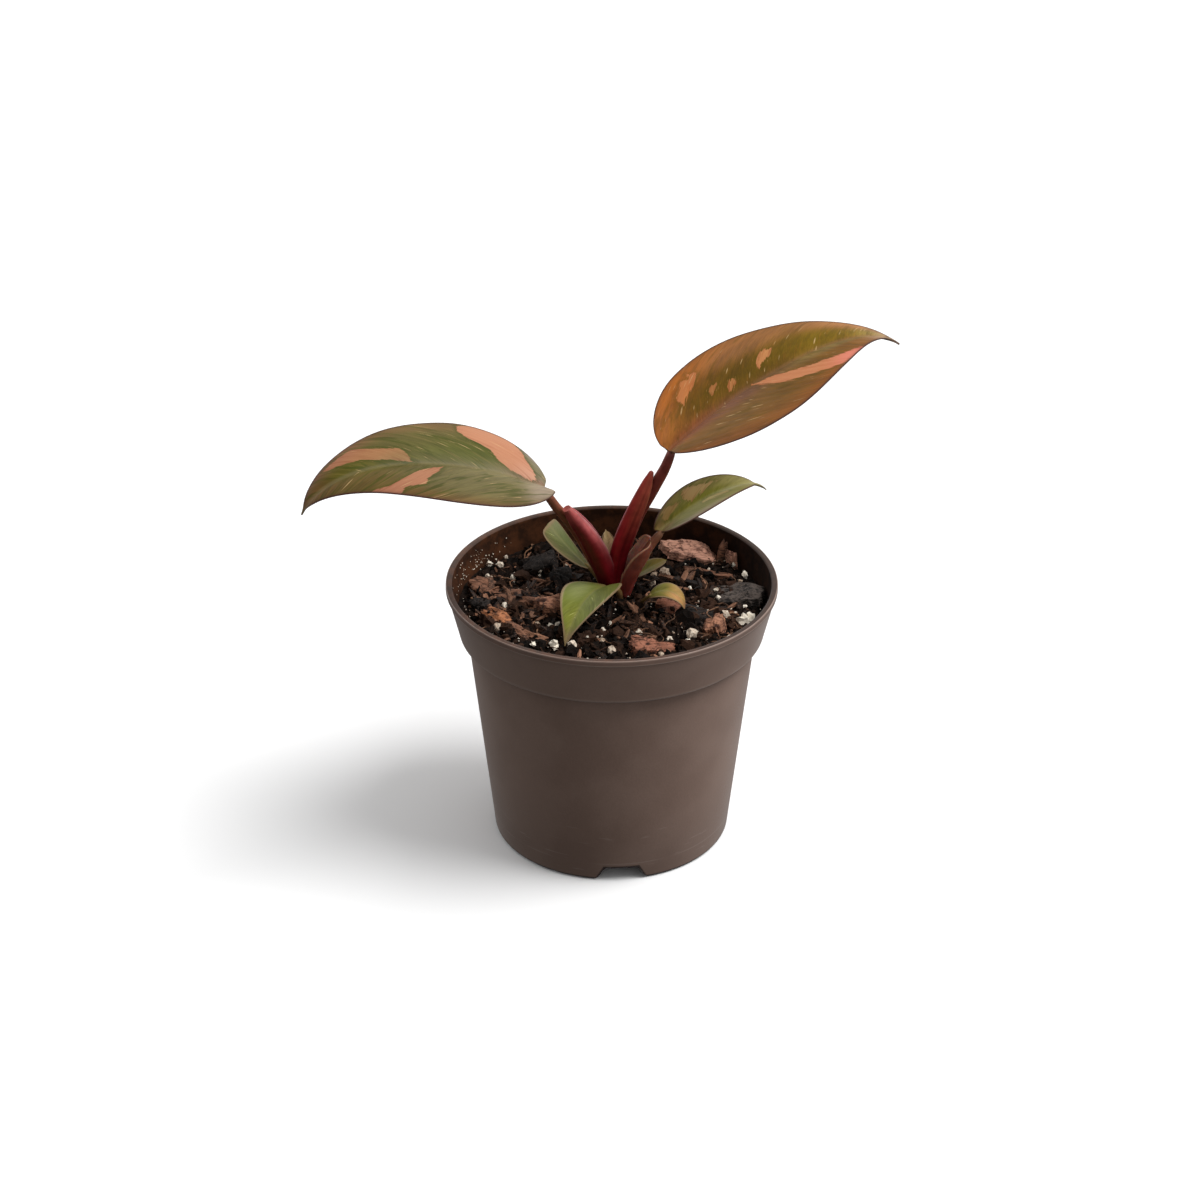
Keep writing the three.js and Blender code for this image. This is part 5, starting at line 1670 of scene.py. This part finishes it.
class AddStalks(bpy.types.Operator):
    """Adds the stalks of the two large leaves and of the small leaf, with its hood"""

    bl_idname = "philodendron.add_stalks"
    bl_label = "Leaf stalks"

    def execute(self, context):
        skin = stalk_material("stalk skin", 0.42, 0.1, srgb(64, 26, 22))

        def channelled(share, angle):
            return 1 + 0.06 * math.cos(2 * angle) + 0.03 * math.sin(share * 21 + angle)

        for key in ("left", "right", "small"):
            bm = tube_bmesh(**STALKS[key], rows=80, form=channelled, paint=STALK_PAINT[key])
            add_piece(bm, f"{key}_stalk", skin, "stalk", f"{key}_leaf_stalk")
        thin = stalk_material("hood skin", 0.45, 0.1, srgb(120, 70, 58))
        shader = thin.node_tree.nodes["Principled BSDF"]
        shader.inputs["Subsurface Weight"].default_value = 0.5
        shader.inputs["Subsurface Scale"].default_value = 0.6 * MM
        add_piece(hood_bmesh(), "small_hood", thin, "stalk")
        return {"FINISHED"}


class AddSheaths(bpy.types.Operator):
    """Adds the two crimson leaf sheaths"""

    bl_idname = "philodendron.add_sheaths"
    bl_label = "Leaf sheaths"

    def execute(self, context):
        skin = stalk_material("sheath skin", 0.36, 0.06, srgb(92, 6, 10), 0.13)

        def folded(middle, half, seam):
            """A rounded section with a flat face between two keels, and a groove where the margins lap."""

            def form(share, angle):
                turn = math.remainder(angle - middle, 2 * math.pi)
                flat = 1
                if abs(turn) < math.pi / 2:
                    flat = min(1, math.cos(half) * 1.06 / max(math.cos(turn), 0.1))
                keels = 0.09 * math.exp(-(((abs(turn) - half) / 0.09) ** 2))
                lap = 0.08 * math.exp(-((math.remainder(angle - seam, 2 * math.pi) / 0.07) ** 2))
                return flat + keels - lap * smooth_step(share * 3) + 0.012 * math.sin(share * 17 + 2 * angle)

            return form

        forms = {
            "tall": folded(math.radians(-6), math.radians(36), math.radians(98)),
            "short": folded(math.radians(192), math.radians(34), math.radians(64)),
        }
        for key, form in forms.items():
            bm = tube_bmesh(**SHEATHS[key], sides=48, rows=110, form=form, paint=STALK_PAINT[key])
            add_piece(bm, f"{key}_red_sheath", skin, "sheath", f"{key}_sheath")
        return {"FINISHED"}


class AddLargeBlades(bpy.types.Operator):
    """Adds the blades of the two large leaves and of the small right leaf"""

    bl_idname = "philodendron.add_large_blades"
    bl_label = "Large blades"

    def execute(self, context):
        foliage = context.scene.philodendron_foliage
        looks = {
            "left": ("blade_green", {
                "Streaks": 0.4, "Streak Colour": srgb(134, 112, 66),
                "Deep": 0.6, "Deep Colour": srgb(58, 66, 12),
                "Rib": 0.3, "Rib Colour": srgb(134, 122, 90),
                "Flecks": 0.15, "Margin Colour": srgb(64, 36, 30), "Ragged": 0.9,
            }),
            "right": ("blade_orange", {
                "Streaks": 0.26, "Streak Colour": srgb(158, 98, 34),
                "Deep": 0.4, "Deep Colour": srgb(84, 66, 0),
                "Rib": 0.25, "Rib Colour": srgb(134, 96, 70),
                "Flecks": 0.22, "Margin Colour": srgb(66, 38, 30), "Ragged": 1.9,
            }),
            "small": ("blade_young", {
                "Streaks": 0.4, "Streak Colour": srgb(170, 150, 84),
                "Deep": 0.5, "Deep Colour": srgb(86, 92, 20),
                "Rib": 0.35, "Rib Colour": srgb(190, 184, 130),
                "Flecks": 0.28, "Margin Colour": srgb(92, 56, 48), "Ragged": 2.4,
            }),
        }
        for key, (slot, look) in looks.items():
            given = {"Fleck Colour": (*foliage.fleck, 1), **look}
            bm = blade_bmesh(key)
            crease(bm, 50)
            add_piece(bm, f"{key}_blade", leaf_material(f"{key} blade", **given), slot, f"{key}_leaf_blade")
        return {"FINISHED"}


class AddYoungLeaves(bpy.types.Operator):
    """Adds the five young leaves round the stem, each with its stalk"""

    bl_idname = "philodendron.add_young_leaves"
    bl_label = "Young leaves"

    def execute(self, context):
        nodes = {
            "young_back": "young_leaf_back", "young_front": "young_leaf_front",
            "young_right": "young_leaf_right", "young_hidden": "young_leaf_hidden", "scale": "scale_leaf",
        }
        skin = stalk_material("young stalk skin", 0.5, 0.05, srgb(98, 74, 48))
        looks = {
            "Streaks": 0.4, "Streak Colour": srgb(132, 130, 72), "Deep": 0.4, "Deep Colour": srgb(62, 70, 18),
            "Rib": 0.3, "Rib Colour": srgb(142, 134, 82), "Flecks": 0.3, "Fleck Colour": srgb(206, 206, 130),
            "Margin Colour": srgb(134, 112, 82), "Border": 0.06,
        }
        material = leaf_material("young blade", **looks)
        for key, node in nodes.items():
            bm = blade_bmesh(key)
            crease(bm, 50)
            add_piece(bm, f"{key}_blade", material, "scale" if key == "scale" else "blade_young", node)
            bm = tube_bmesh(**STALKS[key], sides=16, rows=30, paint=STALK_PAINT["young"])
            add_piece(bm, f"{key}_stalk", skin, "stalk")
        return {"FINISHED"}


class AddStage(bpy.types.Operator):
    """Adds the pale floor, the soft studio light and the camera"""

    bl_idname = "philodendron.add_stage"
    bl_label = "Stage"

    def execute(self, context):
        scene = context.scene
        settings = scene.philodendron_stage
        self.add_floor()
        self.add_world(scene, settings)
        self.add_key(settings)
        scene.camera = self.add_camera(settings)
        scene.view_settings.view_transform = "Standard"
        return {"FINISHED"}

    def add_floor(self):
        """A pale floor that takes shadows and throws no light on the pot."""
        bm = bmesh.new()
        bmesh.ops.create_grid(bm, x_segments=1, y_segments=1, size=3)
        material, tree, shader = new_material("pale floor")
        feed(tree, shader, {"Base Color": (0.95, 0.95, 0.95, 1), "Roughness": 0.9})
        floor = as_object("floor", as_mesh(bm, "floor"))
        floor.data.materials.append(material)
        floor.visible_diffuse = False
        floor.visible_glossy = False

    def add_key(self, settings):
        lamp = bpy.data.lights.new("key", "SUN")
        lamp.energy = settings.key_power
        lamp.angle = settings.key_softness
        azimuth, height = settings.key_azimuth, settings.key_elevation
        flat = Vector((math.cos(azimuth), math.sin(azimuth), 0)) * math.cos(height)
        towards = flat + Vector((0, 0, math.sin(height)))
        as_object("key", lamp).rotation_euler = towards.to_track_quat("Z", "Y").to_euler()

    def add_camera(self, settings):
        camera = as_object("camera", bpy.data.cameras.new("camera"))
        camera.data.lens = settings.lens
        camera.data.sensor_width = SENSOR_WIDTH
        elevation = settings.elevation
        back = Vector((0, -math.cos(elevation), math.sin(elevation)))
        camera.location = Vector(TARGET) * MM + back * settings.distance
        camera.rotation_euler = (math.pi / 2 - elevation, 0, 0)
        return camera

    def add_world(self, scene, settings):
        """A white studio that is dim on the viewer's side and dark below the floor."""
        world = bpy.data.worlds.new("studio")
        scene.world = world
        world.use_nodes = True
        tree = world.node_tree
        sight = put(tree, "ShaderNodeTexCoord").outputs["Generated"]
        direction = put(tree, "ShaderNodeSeparateXYZ", {0: sight})
        from_back = ramp(tree, direction.outputs[1], -0.7, 0.9, settings.front_light, settings.back_light)
        from_right = ramp(tree, direction.outputs[0], 0.0, 1.0, 0.0, settings.right_light)
        above = ramp(tree, direction.outputs[2], -0.15, 0.15, 0.2, 1.0)
        towards = put(tree, "ShaderNodeVectorMath", {0: sight, 1: LEFT_LIGHT_WAY}, operation="DOT_PRODUCT")
        from_left = ramp(tree, towards.outputs["Value"], 0.7, 1.0, 0.0, settings.left_light)
        sides = plus(tree, from_left, from_right)
        light = times(tree, plus(tree, from_back, sides), above)
        feed(tree, tree.nodes["Background"], {"Color": (1, 1, 1, 1), "Strength": light})


class PhilodendronPanel(bpy.types.Panel):
    """Lists the pieces of the plant"""

    bl_idname = "VIEW3D_PT_philodendron"
    bl_label = "Philodendron"
    bl_space_type = "VIEW_3D"
    bl_region_type = "UI"
    bl_category = "Philodendron"

    def draw(self, context):
        for name in SETTINGS:
            settings = getattr(context.scene, name)
            box = self.layout.box()
            for key in settings.__annotations__:
                box.prop(settings, key)
        for step in STEPS:
            self.layout.operator(step.bl_idname)


STEPS = (
    AddStage, AddPot, AddPottingMix, AddLooseMix, AddBark, AddStem, AddStalks, AddSheaths, AddLargeBlades,
    AddYoungLeaves,
)
SETTINGS = {
    "philodendron_pot": PotSettings,
    "philodendron_foliage": FoliageSettings,
    "philodendron_mix": MixSettings,
    "philodendron_stage": StageSettings,
}


def register():
    for item in (*SETTINGS.values(), *STEPS, PhilodendronPanel):
        bpy.utils.register_class(item)
    for name, kind in SETTINGS.items():
        setattr(bpy.types.Scene, name, PointerProperty(type=kind))


def unregister():
    for name in SETTINGS:
        delattr(bpy.types.Scene, name)
    for item in reversed((*SETTINGS.values(), *STEPS, PhilodendronPanel)):
        bpy.utils.unregister_class(item)


def main():
    register()
    for step in STEPS:
        group, name = step.bl_idname.split(".")
        getattr(getattr(bpy.ops, group), name)()


if __name__ == "__main__":
    main()
